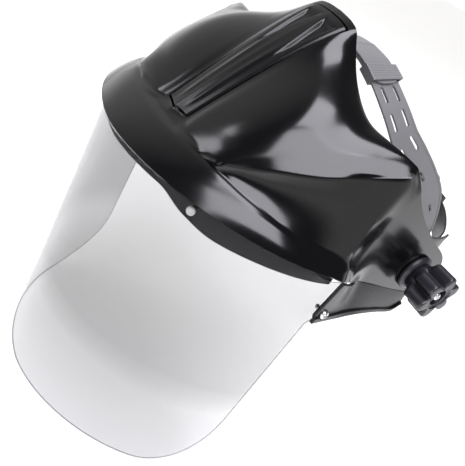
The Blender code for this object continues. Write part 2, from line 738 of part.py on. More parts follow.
def build_strap(sx, side):
    lift = 0.0 if sx > 0 else STRAP_T + GAP
    lo = -0.22 if sx > 0 else -0.31
    path = []
    ts = [lo + (1 - lo) * k / 26 for k in range(27)]
    for t in ts:
        c, out, w = strap_frame(abs(t))
        if t < 0:
            c = Vector((-c.x, c.y, c.z))
            out = Vector((-out.x, out.y, out.z))
            w = Vector((-w.x, w.y, w.z))
        if sx < 0:
            c, out, w = [Vector((-q.x, q.y, q.z)) for q in (c, out, w)]
            k = min(1.0, max(0.0, (0.42 - t) / 0.12))
            c = c + out * lift * (k * k * (3 - 2 * k))
        f = min(1.0, max(0.0, (t - 0.86) / 0.12))
        half = lerp(STRAP_W / 2, 7.0, f * f * (3 - 2 * f))
        path.append((c, out, w, half))
    ob = strip_solid("top_strap_" + side, path, STRAP_W / 2, STRAP_T, GREY)
    # adjustment slots in pairs, and the peg hole at the end
    for k, t in enumerate((0.355, 0.50, 0.64)) if sx > 0 else enumerate((0.50, 0.64)):
        for m, off in enumerate((-6.2, 6.2)):
            c, out, w = strap_frame(t)
            c2, _, _ = strap_frame(t + 0.03)
            tan = (c2 - c).normalized()
            if sx < 0:
                c, out, w, tan = [Vector((-q.x, q.y, q.z)) for q in (c, out, w, tan)]
            bm = bmesh.new()
            bmesh.ops.create_cube(bm, size=1.0)
            for vtx in bm.verts:
                q = vtx.co.copy()
                p = c + w * (off + q.x * 3.0) + tan * (q.y * 12.0) + out * (q.z * 14.0 + 1.0)
                vtx.co = place(*p)
            cut = from_bmesh("slot_%s_%d_%d" % (side, k, m), bm, None, True)
            boolean(ob, cut)
    boolean(ob, cyl("strap_hole_" + side, 3.0, 70 if sx > 0 else -92, 92 if sx > 0 else -70,
                    y=PEG_Y, z=PEG_Z, seg=20, cutter=True))
    return ob


def build_keeper():
    """Folded band round the strap's overlap."""
    t0, t1 = 0.215, 0.285
    top = 2 * STRAP_T + GAP + 0.45
    bm = bmesh.new()
    outer, inner = [], []
    hw = STRAP_W / 2
    rings = []
    for t in (t0, (t0 + t1) / 2, t1):
        c, out, w = strap_frame(t)
        ring = []
        for (a, b) in ((-hw - 1.7, -1.6), (hw + 1.7, -1.6), (hw + 1.7, top + 1.3), (-hw - 1.7, top + 1.3)):
            ring.append(bm.verts.new(place(*(c + w * a + out * b))))
        ri = []
        for (a, b) in ((-hw - 0.4, -0.4), (hw + 0.4, -0.4), (hw + 0.4, top), (-hw - 0.4, top)):
            ri.append(bm.verts.new(place(*(c + w * a + out * b))))
        rings.append((ring, ri))
    for (a, ai), (b, bi) in zip(rings, rings[1:]):
        for k in range(4):
            bm.faces.new((a[k], a[(k + 1) % 4], b[(k + 1) % 4], b[k]))
            bm.faces.new((ai[k], bi[k], bi[(k + 1) % 4], ai[(k + 1) % 4]))
    for ring, ri in (rings[0], rings[-1]):
        for k in range(4):
            bm.faces.new((ring[k], ri[k], ri[(k + 1) % 4], ring[(k + 1) % 4]))
    return from_bmesh("strap_keeper", bm, GREY, smooth=30)


def build_pegs():
    for sx, side in ((1, "left"), (-1, "right")):
        turned("strap_peg_" + side, [(77.2, 0.6), (77.2, 5.0), (78.4, 5.0), (78.4, 2.6), (86.6, 2.6), (87.4, 2.0),
                                     (87.4, 0.6)], sx, BLACK_SATIN, seg=20, y=PEG_Y, z=PEG_Z)


# ---------------------------------------------------------------- ratchet at the nape
RATCHET_Y = HEAD_Y + HEAD_R - 1.7 - PIVOT_Y       # rear middle of the tails (object frame)
RATCHET_Z = 5.0 - PIVOT_Z
AXIS_Y = HEAD_Y - PIVOT_Y


def arc_box(bm, r0, r1, a0, a1, z0, z1, n):
    """Solid between two radii, two angles (degrees from the rear, towards +X) and two heights."""
    rings = []
    for k in range(n + 1):
        a = math.radians(lerp(a0, a1, k / n))
        ring = []
        for r, z in ((r0, z0), (r1, z0), (r1, z1), (r0, z1)):
            ring.append(bm.verts.new(((r * math.sin(a)) / 1000, (AXIS_Y + r * math.cos(a)) / 1000, z / 1000)))
        rings.append(ring)
    for a, b in zip(rings, rings[1:]):
        for k in range(4):
            bm.faces.new((a[k], a[(k + 1) % 4], b[(k + 1) % 4], b[k]))
    bm.faces.new(rings[0])
    bm.faces.new(list(reversed(rings[-1])))
    return bm


def arc_profile(name, prof, a0, a1, n, spec, cutter=False):
    """Closed (r, z) outline swept about the loop's rear centre."""
    bm = bmesh.new()
    rings = []
    for k in range(n + 1):
        a = math.radians(lerp(a0, a1, k / n))
        rings.append([bm.verts.new(((r * math.sin(a)) / 1000, (AXIS_Y + r * math.cos(a)) / 1000, z / 1000))
                      for r, z in prof])
    m = len(prof)
    for a, b in zip(rings, rings[1:]):
        for k in range(m):
            bm.faces.new((a[k], a[(k + 1) % m], b[(k + 1) % m], b[k]))
    bm.faces.new(rings[0])
    bm.faces.new(list(reversed(rings[-1])))
    return from_bmesh(name, bm, spec, cutter, smooth=25)


TAIL_H = 9.0                  # half height of each tail
TAIL_R = HEAD_R - 1.7         # mean radius of the two overlapping tails


def build_tail(sx, side):
    """Toothed rear tail: it follows the loop's rear arc and turns about its centre."""
    r0 = TAIL_R - 1.4 if sx > 0 else TAIL_R + 0.2
    r1 = r0 + 1.2
    z = RATCHET_Z
    bm = bmesh.new()
    rings = []
    n = 24
    tip = -16.0
    root = 74.0
    for k in range(n + 1):
        d = lerp(tip, root, k / n)
        a = math.radians(d) * sx
        rise = curve_at([(tip, (0.0,)), (24, (0.0,)), (50, (-5.0,)), (root, (-8.5,))], d)[0]
        rings.append([bm.verts.new(((r * math.sin(a)) / 1000, (AXIS_Y + r * math.cos(a)) / 1000, (z + rise + h) / 1000))
                      for r, h in ((r0, -TAIL_H), (r1, -TAIL_H), (r1, TAIL_H), (r0, TAIL_H))])
    for a, b in zip(rings, rings[1:]):
        for k in range(4):
            bm.faces.new((a[k], a[(k + 1) % 4], b[(k + 1) % 4], b[k]))
    bm.faces.new(rings[0])
    bm.faces.new(list(reversed(rings[-1])))
    ob = from_bmesh("rear_band_" + side, bm, BLACK_SATIN, smooth=25)
    # window with a rack along one edge
    rm = TAIL_R
    pitch = 2 * math.pi * PINION_PITCH_R / PINION_TEETH
    edge = -1 if sx > 0 else 1
    z_rack = z + edge * PINION_PITCH_R
    span = math.radians(13.0)
    za, zb = sorted((z_rack + edge * 0.95, z - edge * (PINION_PITCH_R + 1.6)))
    wb = bmesh.new()
    arc_box(wb, TAIL_R - 6, TAIL_R + 6, -13.0, 13.0, za, zb, 8)
    win = from_bmesh("window_" + side, wb, None, True)
    boolean(ob, win)
    # teeth stand into the window, half a pitch from the gear's tooth at rest
    count = 9
    tb = bmesh.new()
    for k in range(-(count // 2), count // 2 + 1):
        xm = (k + 0.5) * pitch
        a_mid = xm / rm
        if abs(a_mid) > span - 0.02:
            continue
        wtop, wroot = 0.21 * pitch, 0.42 * pitch
        verts = []
        for r in (r0, r1):
            for hx, hz in ((-wroot / 2, 1.15), (wroot / 2, 1.15), (wtop / 2, -0.75), (-wtop / 2, -0.75)):
                a = a_mid + hx / rm
                verts.append(tb.verts.new(((r * math.sin(a)) / 1000, (AXIS_Y + r * math.cos(a)) / 1000,
                                           (z_rack + edge * hz) / 1000)))
        lo, hi = verts[:4], verts[4:]
        tb.faces.new(lo)
        tb.faces.new(list(reversed(hi)))
        for q in range(4):
            tb.faces.new((lo[q], hi[q], hi[(q + 1) % 4], lo[(q + 1) % 4]))
    teeth = from_bmesh("rack_" + side, tb, None, True)
    boolean(ob, teeth, "UNION")
    return ob


def build_pinion():
    """Gear on the knob's axis: its teeth pass through both tails' windows."""
    y0, y1 = RATCHET_Y - 1.6, RATCHET_Y + 1.7
    bm = bmesh.new()
    pts = []
    for k in range(PINION_TEETH):
        c = 2 * math.pi * k / PINION_TEETH
        for r, da in ((PINION_PITCH_R - 1.15, -0.235), (PINION_PITCH_R + 0.6, -0.07), (PINION_PITCH_R + 0.6, 0.07),
                      (PINION_PITCH_R - 1.15, 0.235)):
            a = c + da * math.pi / 2 * 1.0
            pts.append((r * math.sin(a), r * math.cos(a)))
    rings = []
    for y in (y0, y1):
        rings.append([bm.verts.new((px / 1000, y / 1000, (RATCHET_Z + pz) / 1000)) for px, pz in pts])
    m = len(pts)
    for k in range(m):
        bm.faces.new((rings[0][k], rings[0][(k + 1) % m], rings[1][(k + 1) % m], rings[1][k]))
    bm.faces.new(rings[0])
    bm.faces.new(list(reversed(rings[1])))
    return from_bmesh("ratchet_pinion", bm, GEAR, smooth=20)


def build_ratchet():
    z, H = RATCHET_Z, TAIL_H + 0.6
    r_in, r_out = TAIL_R - 1.8, TAIL_R + 1.8
    # inner half: a curved tray with lips above and below the tails
    arc_profile("ratchet_housing",
                [(r_in - 2.2, z - H - 2.4), (r_out, z - H - 2.4), (r_out, z - H), (r_in, z - H),
                 (r_in, z + H), (r_out, z + H), (r_out, z + H + 2.4), (r_in - 2.2, z + H + 2.4)],
                -21, 21, 14, BLACK_SATIN)
    cover = arc_profile("ratchet_cover",
                        [(r_out + GAP, z - H - 2.4), (r_out + 7.5, z - H + 0.4), (r_out + 7.5, z + H - 0.4),
                         (r_out + GAP, z + H + 2.4)],
                        -21, 21, 14, BLACK_SATIN)
    yb = RATCHET_Y
    boolean(cover, cyl("knob_bore", 6.2, yb - 6, yb + 18, z=z, axis="Y", seg=24, cutter=True))
    # ring-shaped pocket for the detent spring, open towards the knob
    boolean(cover, cyl("spring_pocket", 11.6, yb + 5.4, yb + 18, z=z, axis="Y", seg=32, cutter=True))
    build_pinion()
    # knob: gripped rim, hub reaching in to the gear
    seg = 48
    bm = bmesh.new()
    rings = []
    for y, base, grip in ((yb + 1.7 + GAP, 4.6, 0.0), (yb + 10.4, 4.6, 0.0), (yb + 10.4, 16.5, 1.0),
                          (yb + 19.0, 15.8, 1.0), (yb + 20.2, 13.6, 0.3)):
        ring = []
        for k in range(seg):
            a = 2 * math.pi * k / seg
            r = base + grip * (1.1 if (k % 6) in (0, 1, 2) else -0.6)
            ring.append(bm.verts.new(((r * math.sin(a)) / 1000, y / 1000, (z + r * math.cos(a)) / 1000)))
        rings.append(ring)
    for a, b in zip(rings, rings[1:]):
        for k in range(seg):
            bm.faces.new((a[k], a[(k + 1) % seg], b[(k + 1) % seg], b[k]))
    bm.faces.new(rings[0])
    bm.faces.new(list(reversed(rings[-1])))
    from_bmesh("ratchet_knob", bm, BLACK_KNOB, smooth=35)
    # detent spring: a flat ring that lies in the cover's pocket
    bm = bmesh.new()
    seg = 36
    rings = []
    for y, r in ((yb + 6.0, 10.6), (yb + 6.0, 7.2), (yb + 7.0, 7.2), (yb + 7.0, 10.6)):
        rings.append([bm.verts.new(((r * math.sin(a)) / 1000, (y + 0.8 * math.cos(6 * a) * 0.5) / 1000,
                                    (z + r * math.cos(a)) / 1000))
                      for a in [2 * math.pi * k / seg for k in range(seg)]])
    for i in range(4):
        a, b = rings[i], rings[(i + 1) % 4]
        for k in range(seg):
            bm.faces.new((a[k], a[(k + 1) % seg], b[(k + 1) % seg], b[k]))
    from_bmesh("ratchet_spring", bm, STEEL, smooth=35)
    arc_profile("nape_pad", [(r_in - 2.2 - GAP - 5.0, z - H - 0.5), (r_in - 2.2 - GAP, z - H - 1.5),
                             (r_in - 2.2 - GAP, z + H + 1.5), (r_in - 2.2 - GAP - 5.0, z + H + 0.5)],
                -26, 26, 14, FOAM)


# ---------------------------------------------------------------- pivots
def build_pivot(sx, side):
    # bolt: round head inside the headband, shank out through everything to the knob's recess
    turned("pivot_bolt_" + side,
           [(80.6, 0.8), (80.6, 5.4), (81.3, 6.2), (83.2, 6.2), (83.2, BOLT_R), (128.6, BOLT_R), (129.4, BOLT_R - 0.8),
            (129.4, 0.8)], sx, STEEL, seg=20)
    turned("friction_washer_" + side,
           [(88.6, BOLT_R + 0.4), (88.6, 15.0), (90.8, 15.0), (90.8, BOLT_R + 0.4)], sx, FIBRE, seg=24)
    turned("pivot_spacer_" + side,
           [(91.1, BOLT_R + 0.4), (91.1, 12.0), (97.0, 9.0), (102.2, 9.0), (102.2, BOLT_R + 0.4)], sx, BLACK_SATIN,
           seg=24)
    turned("knob_collar_" + side,
           [(105.4, BOLT_R + 0.4), (105.4, 13.5), (107.4, 13.5), (109.4, 11.5), (109.4, BOLT_R + 0.4)], sx,
           BLACK_KNOB, seg=28)
    # star knob with six lobes and an open recess round the bolt's end
    seg = 42
    bm = bmesh.new()
    rings = []
    x0 = 109.8
    for x, base, lobe, hole in ((x0, 10.5, 0.0, 0), (x0 + 3.5, 11.5, 0.15, 0), (x0 + 6.5, 13.6, 1.0, 0),
                                (x0 + KNOB_L - 1.2, 13.9, 1.0, 0), (x0 + KNOB_L, 13.1, 0.9, 0),
                                (x0 + KNOB_L, 6.2, 0, 1), (x0 + KNOB_L - 5.0, 5.6, 0, 1),
                                (x0 + KNOB_L - 5.0, BOLT_R + 0.4, 0, 1), (x0, BOLT_R + 0.4, 0, 1)):
        ring = []
        for k in range(seg):
            a = 2 * math.pi * k / seg
            c = math.cos(6 * a)
            # broad flat lobes with narrow valleys
            q = 1.0 - (1.0 - (c + 1) / 2) ** 1.6
            r = base + (lobe * (KNOB_R - 13.6) * (2 * q - 1) if not hole else 0)
            ring.append(bm.verts.new((sx * x / 1000, (r * math.sin(a)) / 1000, (r * math.cos(a)) / 1000)))
        rings.append(ring)
    n = len(rings)
    for i in range(n):
        a, b = rings[i], rings[(i + 1) % n]
        for k in range(seg):
            bm.faces.new((a[k], a[(k + 1) % seg], b[(k + 1) % seg], b[k]))
    from_bmesh("star_knob_" + side, bm, BLACK_KNOB, smooth=35)


# ---------------------------------------------------------------- assembly
build_crown()
build_panel()
VISOR = build_visor()
CARRIER = build_carrier()
build_studs(VISOR, CARRIER)
for SX, SIDE in ((1, "left"), (-1, "right")):
    BR, HOLE = build_bracket(SX, SIDE)
    build_bracket_screw(SX, SIDE)
    boolean(VISOR, HOLE)
    build_pivot(SX, SIDE)
    build_strap(SX, SIDE)
    build_tail(SX, SIDE)
build_headband()
build_sweatband()
build_keeper()
build_pegs()
build_ratchet()
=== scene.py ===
"""Looks of the face shield: detailed pieces, materials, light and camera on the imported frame."""
import math

import bmesh
import bpy
from mathutils import Matrix, Vector


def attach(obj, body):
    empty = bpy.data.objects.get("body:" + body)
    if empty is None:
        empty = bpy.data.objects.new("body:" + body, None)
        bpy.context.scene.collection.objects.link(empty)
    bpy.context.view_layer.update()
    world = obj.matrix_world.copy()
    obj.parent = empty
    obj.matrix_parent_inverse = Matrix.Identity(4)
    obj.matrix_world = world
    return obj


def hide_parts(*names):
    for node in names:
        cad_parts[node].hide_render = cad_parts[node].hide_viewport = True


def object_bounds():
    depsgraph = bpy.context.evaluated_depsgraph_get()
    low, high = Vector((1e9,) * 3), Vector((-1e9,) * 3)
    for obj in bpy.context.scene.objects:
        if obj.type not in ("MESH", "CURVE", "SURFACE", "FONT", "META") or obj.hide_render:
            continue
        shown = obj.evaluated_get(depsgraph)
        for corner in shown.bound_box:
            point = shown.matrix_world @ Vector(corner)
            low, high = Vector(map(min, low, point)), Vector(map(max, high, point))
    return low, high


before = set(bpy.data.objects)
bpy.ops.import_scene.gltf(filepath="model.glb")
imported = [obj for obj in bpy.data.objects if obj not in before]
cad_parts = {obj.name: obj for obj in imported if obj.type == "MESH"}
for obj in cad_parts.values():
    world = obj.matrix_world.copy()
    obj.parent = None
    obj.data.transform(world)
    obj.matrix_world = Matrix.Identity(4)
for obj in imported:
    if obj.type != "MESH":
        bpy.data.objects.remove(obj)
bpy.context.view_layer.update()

# ---------------------------------------------------------------- dimensions (mm)
PIVOT_Y, PIVOT_Z = 82.0, -2.0      # tilt axis, in the layout frame
GAP = 0.35                          # clearance between touching pieces
VISOR_HALF_W = 112.0                # half width at the top edge
VISOR_DEPTH = 104.2                 # front to rear corners
VISOR_POWER = 1.77                  # fullness of the plan curve (2 is an ellipse)
VISOR_TOP = 5.6
VISOR_DROP = 192.0
VISOR_TAPER = 0.06                  # narrowing over the drop
VISOR_CORNER = 51.0                 # bottom corner radius on the flat sheet
VISOR_T = 1.0
BRIM_OUT = 4.6                     # brim edge stands this far outside the visor
CROWN_T = 2.2
EAR_X = 105.0                       # outer face of the ears
CARRIER_TOP, CARRIER_T = 5.8, 2.4
CARRIER_LOW = [(0, (-1.5,)), (24, (-1.5,)), (34, (-7.5,)), (45, (-11.0,)), (60, (-10.0,)), (75, (-9.0,)),
               (86, (-8.5,))]
HEAD_R, HEAD_Y = 84.0, 115.0         # rear arc of the headband, and its centre
BAND_MID, BAND_FRONT = 84.0, 99.0   # centre of the front half of the headband, and its reach
BAND_T, BAND_H = 1.8, 28.0
BOLT_R = 3.0
KNOB_R, KNOB_L = 17.0, 21.0
STRAP_W, STRAP_T = 28.0, 1.6
PINION_PITCH_R = 5.0
PINION_TEETH = 8
S_PANEL = 0.10       # column that is the long edge of the panel recess
S_HUMP = 0.19        # foot of the centre hump
S_FOLD = 0.62        # fold between the scooped side and the flat ear
PANEL_ROWS = (0.418, 0.965)      # front and rear end of the panel recess
PANEL_DEPTH = 2.6
TAB = 8.0
STUD_ANGLES = (("left", 36.0), ("right", -36.0))
PEG_Y, PEG_Z = 31.0, 5.0       # strap peg, in the object frame
STRAP_PATH = [(0.00, (0.0, 33.0, 96.0)), (0.14, (14.0, 33.5, 94.5)), (0.26, (27.0, 35.5, 90.0)),
              (0.38, (40.0, 39.0, 83.0)), (0.50, (51.0, 44.0, 75.0)), (0.60, (59.0, 51.0, 66.5)),
              (0.70, (66.0, 65.5, 56.5)), (0.80, (71.5, 81.5, 45.5)), (0.90, (76.5, 98.5, 31.0)),
              (0.96, (79.5, 109.0, 16.0)), (1.00, (80.8, 114.5, -2.0))]
RATCHET_Y = HEAD_Y + HEAD_R - 1.7 - PIVOT_Y       # rear middle of the tails (object frame)
RATCHET_Z = 5.0 - PIVOT_Z
AXIS_Y = HEAD_Y - PIVOT_Y
TAIL_H = 9.0                  # half height of each tail
TAIL_R = HEAD_R - 1.7         # mean radius of the two overlapping tails


# ---------------------------------------------------------------- shape of the object
def place(x, y, z):
    return Vector((x / 1000.0, (y - PIVOT_Y) / 1000.0, (z - PIVOT_Z) / 1000.0))


def lerp(a, b, t):
    return a + (b - a) * t


def curve_at(knots, s):
    """Smooth interpolation of tuples given as (s, (values...)), monotone between knots."""
    if s <= knots[0][0]:
        return knots[0][1]
    if s >= knots[-1][0]:
        return knots[-1][1]
    i = max(k for k in range(len(knots)) if knots[k][0] <= s)
    i = min(i, len(knots) - 2)
    s0, s1 = knots[i][0], knots[i + 1][0]
    h = s1 - s0
    t = (s - s0) / h
    out = []
    for c in range(len(knots[0][1])):
        def slope(j):
            if j <= 0 or j >= len(knots) - 1:
                a = min(max(j, 0), len(knots) - 2)
                if j <= 0:
                    a = 0
                return (knots[a + 1][1][c] - knots[a][1][c]) / (knots[a + 1][0] - knots[a][0])
            d0 = (knots[j][1][c] - knots[j - 1][1][c]) / (knots[j][0] - knots[j - 1][0])
            d1 = (knots[j + 1][1][c] - knots[j][1][c]) / (knots[j + 1][0] - knots[j][0])
            if d0 * d1 <= 0:
                return 0.0
            return 2 * d0 * d1 / (d0 + d1)
        m0, m1 = slope(i), slope(i + 1)
        p0, p1 = knots[i][1][c], knots[i + 1][1][c]
        t2, t3 = t * t, t * t * t
        out.append((2 * t3 - 3 * t2 + 1) * p0 + (t3 - 2 * t2 + t) * h * m0
                   + (-2 * t3 + 3 * t2) * p1 + (t3 - t2) * h * m1)
    return tuple(out)


def plan(a, b, power, ang):
    """Point on the super-ellipse plan curve; ang is 0 at the front, 90 degrees at the side."""
    sx, cy = math.sin(ang), math.cos(ang)
    return (a * abs(sx) ** (2 / power), -b * abs(cy) ** (2 / power))


def sweep(s):
    """Plan angle of a column, in radians: columns are closer together over the centre hump."""
    return math.radians(curve_at([(0, (0.0,)), (S_PANEL, (7.5,)), (S_HUMP, (14.3,)), (0.27, (27.5,)),
                                  (0.34, (39.0,)), (0.42, (52.5,)), (0.50, (66.0,)), (0.56, (80.0,))],
                                 min(s, 0.56))[0])


def brim_edge(s):
    x, y = plan(VISOR_HALF_W + BRIM_OUT, VISOR_DEPTH + BRIM_OUT, VISOR_POWER, sweep(s))
    side = (x, y, 6.0 - 0.05 * (y + VISOR_DEPTH))
    if s <= 0.56:
        return side
    return curve_at([(0.56, side), (S_FOLD, (117.0, -5.5, 0.0)), (0.70, (113.0, 17.0, -7.5)),
                     (0.82, (105.0, 52.0, -14.5)), (0.94, (105.0, 86.0, -20.5)),
                     (1.0, (105.0, 100.0, -22.0))], s)


def junction(s):
    """Top edge of the brim, where the dome starts."""
    x, y = plan(109.0, 88.0, 1.95, sweep(s))
    z = curve_at([(0, (20.0,)), (0.28, (20.0,)), (0.36, (17.5,)), (0.46, (13.5,)), (0.56, (8.5,))], s)[0]
    return (x, y, z)


def ledge(s):
    x, y, z = junction(s)
    inset = curve_at([(0, (7.0,)), (0.10, (6.5,)), (0.20, (3.0,)), (0.30, (2.6,)), (0.56, (2.2,))], s)[0]
    n = math.hypot(x / 109.0, y / 88.0)
    return (x * (1 - inset / 109.0 / n), y * (1 - inset / 88.0 / n), z + 1.3)


def crease(s):
    return curve_at([(0.0, (0.0, -78.5, 23.5)), (S_PANEL, (12.0, -76.0, 24.0)),
                     (S_HUMP, (23.0, -79.0, 22.5)), (0.27, (50.0, -75.5, 23.5)),
                     (0.34, (61.8, -64.1, 29.0)), (0.42, (73.5, -50.7, 37.3)),
                     (0.50, (85.0, -33.3, 45.6)), (0.57, (93.5, -13.0, 54.8)),
                     (S_FOLD, (103.5, 7.0, 65.5))], s)


def rear_edge(s):
    return curve_at([(0.0, (0.0, 1.0, 112.0)), (0.05, (9.0, 1.0, 111.5)),
                     (S_PANEL, (18.0, 1.0, 109.5)), (S_HUMP, (30.0, 1.0, 96.5)),
                     (0.27, (42.0, 1.2, 85.0)), (0.35, (57.0, 1.0, 76.5)),
                     (0.43, (67.8, 2.7, 72.6)), (0.52, (81.8, 3.9, 73.6)),
                     (S_FOLD, (99.5, 12.0, 71.2)), (0.68, (104.0, 24.7, 57.5)),
                     (0.76, (103.0, 50.0, 39.0)), (0.85, (105.0, 76.0, 25.0)),
                     (0.94, (105.0, 106.0, 9.5)), (0.975, (105.0, 112.0, -1.5)),
                     (1.0, (105.0, 107.0, -14.0))], s)


def ear_x(y, z):
    """Outer face of the ear: flat, except that its foot flares out to meet the brim's end."""
    w = min(1.0, max(0.0, (34.0 - y) / 42.0))
    w = w * w * (3 - 2 * w)
    h = curve_at([(-16, (14.0,)), (-8, (13.0,)), (-2, (9.5,)), (6, (3.5,)), (14, (0.8,)), (22, (0.0,)),
                  (72, (0.0,))], z)[0]
    return EAR_X + w * h


def crown_point(s, row):
    """row runs 0..1 from the brim's lower edge, 0.14 brim top, 0.18 ledge, 0.40 crease, 1 rear edge."""
    if s <= S_FOLD:
        b, e, k = brim_edge(s), rear_edge(s), crease(s)
        if s > 0.56:
            f = (s - 0.56) / (S_FOLD - 0.56)
            j0, l0 = junction(0.56), ledge(0.56)
            j1, l1 = (114.0, -6.5, 4.5), (109.6, -5.6, 9.0)
            j = tuple(lerp(j0[c], j1[c], f) for c in range(3))
            l = tuple(lerp(l0[c], l1[c], f) for c in range(3))
        else:
            j, l = junction(s), ledge(s)
        if row <= 0.14:
            f = row / 0.14
            p = [lerp(b[c], j[c], f) for c in range(3)]
            bulge = 0.6 * math.sin(math.pi * f) * (1 - max(0.0, s - 0.5) / 0.12)
            n = math.hypot(p[0], p[1])
            p[0] += bulge * p[0] / n
            p[1] += bulge * p[1] / n
            p[2] += bulge * 0.6
            return tuple(p)
        if row <= 0.18:
            f = (row - 0.14) / 0.04
            return tuple(lerp(j[c], l[c], f) for c in range(3))
        if row <= 0.40:
            f = (row - 0.18) / 0.22
            p = [lerp(l[c], k[c], f) for c in range(3)]
            scoop = 2.5 * math.sin(math.pi * f) * min(1.0, max(0.0, (s - 0.28) / 0.12)) \
                * min(1.0, max(0.0, (S_FOLD - s) / 0.10))
            n = math.hypot(p[0], p[1])
            p[0] -= scoop * p[0] / n
            p[1] -= scoop * p[1] / n
            return tuple(p)
        f = (row - 0.40) / 0.60
        t0 = curve_at([(0, (0.0, 19.0, 24.0)), (S_PANEL, (0.3, 19.0, 23.5)),
                       (S_HUMP, (1.0, 19.0, 27.0)), (0.30, (1.5, 17.0, 33.0)),
                       (0.45, (-2.0, 13.0, 19.0)), (S_FOLD, (0.3, 2.2, 1.4))], s)
        t1 = curve_at([(0, (0.0, 26.0, 15.0)), (S_PANEL, (0.5, 26.0, 15.0)),
                       (S_HUMP, (0.0, 25.0, 3.0)), (0.30, (-1.5, 24.0, -8.0)),
                       (0.45, (0.0, 16.0, -3.0)), (S_FOLD, (0.1, 2.4, 1.4))], s)
        a = [(1 - f) ** 3, 3 * f * (1 - f) ** 2, 3 * f * f * (1 - f), f ** 3]
        return tuple(a[0] * k[c] + a[1] * (k[c] + t0[c]) + a[2] * (e[c] - t1[c]) + a[3] * e[c]
                     for c in range(3))
    b, e = brim_edge(s), rear_edge(s)
    # share of each row along the fold column
    f = curve_at([(0, (0.0,)), (0.14, (0.09,)), (0.18, (0.14,)), (0.40, (0.88,)), (1, (1.0,))], row)[0]
    y, z = lerp(b[1], e[1], f), lerp(b[2], e[2], f)
    x = ear_x(y, z)
    g = min(1.0, (s - S_FOLD) / 0.05)
    return (lerp(crown_point(S_FOLD, row)[0], x, g) if g < 1 else x, y, z)


def crown_normal(s, row):
    d = 0.004
    s0, s1 = max(0.0, s - d), min(1.0, s + d)
    r0, r1 = max(0.0, row - d), min(1.0, row + d)
    a = Vector(crown_point(s1, row)) - Vector(crown_point(s0, row))
    b = Vector(crown_point(s, r1)) - Vector(crown_point(s, r0))
    n = a.cross(b)
    if s < 1e-6:
        n.x = 0.0
    n.normalize()
    return n if n.z > -0.2 else -n


def visor_section(off=0.0, n=44):
    """Plan curve of the visor, from the right rear corner round the front to the left one."""
    pts = []
    for k in range(n + 1):
        ang = -math.pi / 2 + math.pi * k / n
        x, y = plan(VISOR_HALF_W + off, VISOR_DEPTH + off, VISOR_POWER, abs(ang))
        pts.append((math.copysign(x, ang) if abs(ang) > 1e-9 else 0.0, y))
    return pts


def arc_lengths(pts):
    s = [0.0]
    for a, b in zip(pts, pts[1:]):
        s.append(s[-1] + math.hypot(b[0] - a[0], b[1] - a[1]))
    return s


def taper(z):
    return 1.0 - VISOR_TAPER * (-z) / VISOR_DROP


def side_top(deg, top, end):
    """The sheet and its carrier drop away under the ears at their rear corners."""
    return curve_at([(40, (top,)), (58, (lerp(top, end, 0.17),)), (70, (lerp(top, end, 0.36),)),
                     (79, (lerp(top, end, 0.84),)), (84, (end,)), (90, (end,))], deg)[0]


def stud_frame(ang_deg, z=-1.6):
    """Point on the visor's outer face and its outward direction, for a stud."""
    a = math.radians(ang_deg)

    def at(aa):
        x, y = plan(VISOR_HALF_W, VISOR_DEPTH, VISOR_POWER, abs(aa))
        return Vector((math.copysign(x, aa) * taper(z), y * taper(z), z))
    p = at(a)
    t = (at(a + 0.01) - at(a - 0.01)).normalized()
    n = t.cross(Vector((0, 0, 1)))
    n.normalize()
    if n.dot(Vector((p.x, p.y, 0))) < 0:
        n = -n
    return p, n


def bracket_outer(u, v):
    """u 0..1 front to rear, v 0..1 from the seam under the ear down to the rim."""
    s = lerp(S_FOLD + 0.012, 0.985, u)
    top = brim_edge(s)
    under = crown_point(s, 0)[0]
    top = (lerp(top[0], under, min(1.0, max(0.0, (u - 0.08) / 0.18))), top[1],
           top[2] - lerp(1.7, 0.45, min(1.0, u / 0.2)))
    rim = curve_at([(0.0, (114.0, -3.0, -36.0)), (0.12, (113.6, 9.0, -34.5)), (0.38, (111.8, 35.0, -33.0)),
                    (0.70, (108.5, 66.0, -35.5)), (0.90, (106.5, 88.0, -38.0)), (1.0, (105.0, 99.0, -33.5))], u)
    p = [lerp(top[c], rim[c], v) for c in range(3)]
    return tuple(p)


def loop_point(deg):
    """Headband loop in plan: 0 at the front, 180 at the rear. Returns point and outward normal."""
    a = math.radians(deg)
    if abs(deg) <= 90:
        x, y = HEAD_R * math.sin(a), BAND_MID - BAND_FRONT * math.cos(a)
        n = Vector((math.sin(a) / HEAD_R, -math.cos(a) / BAND_FRONT, 0)).normalized()
    else:
        x, y = HEAD_R * math.sin(a), HEAD_Y - HEAD_R * math.cos(a)
        n = Vector((math.sin(a), -math.cos(a), 0))
    return Vector((x, y, 0)), n


def band_z(deg):
    """Height of the band's middle: high on the forehead, low at the nape."""
    return curve_at([(0, (34.0,)), (45, (26.0,)), (90, (-2.0,)), (118, (-4.0,))], abs(deg))[0]


def strap_frame(t):
    c = Vector(curve_at(STRAP_PATH, t))
    d = 0.01
    a, b = Vector(curve_at(STRAP_PATH, max(0, t - d))), Vector(curve_at(STRAP_PATH, min(1, t + d)))
    tan = (b - a).normalized()
    if t < 0.02:
        tan = Vector((1, 0.05, 0)).normalized()
    # outward direction from the head's centre, square to the strap's run
    out = (c - Vector((0, 60.0, 20.0)))
    out.y *= 0.35
    out -= tan * out.dot(tan)
    out.normalize()
    w = tan.cross(out).normalized()
    if w.y < 0:
        w = -w
    return c, out, w


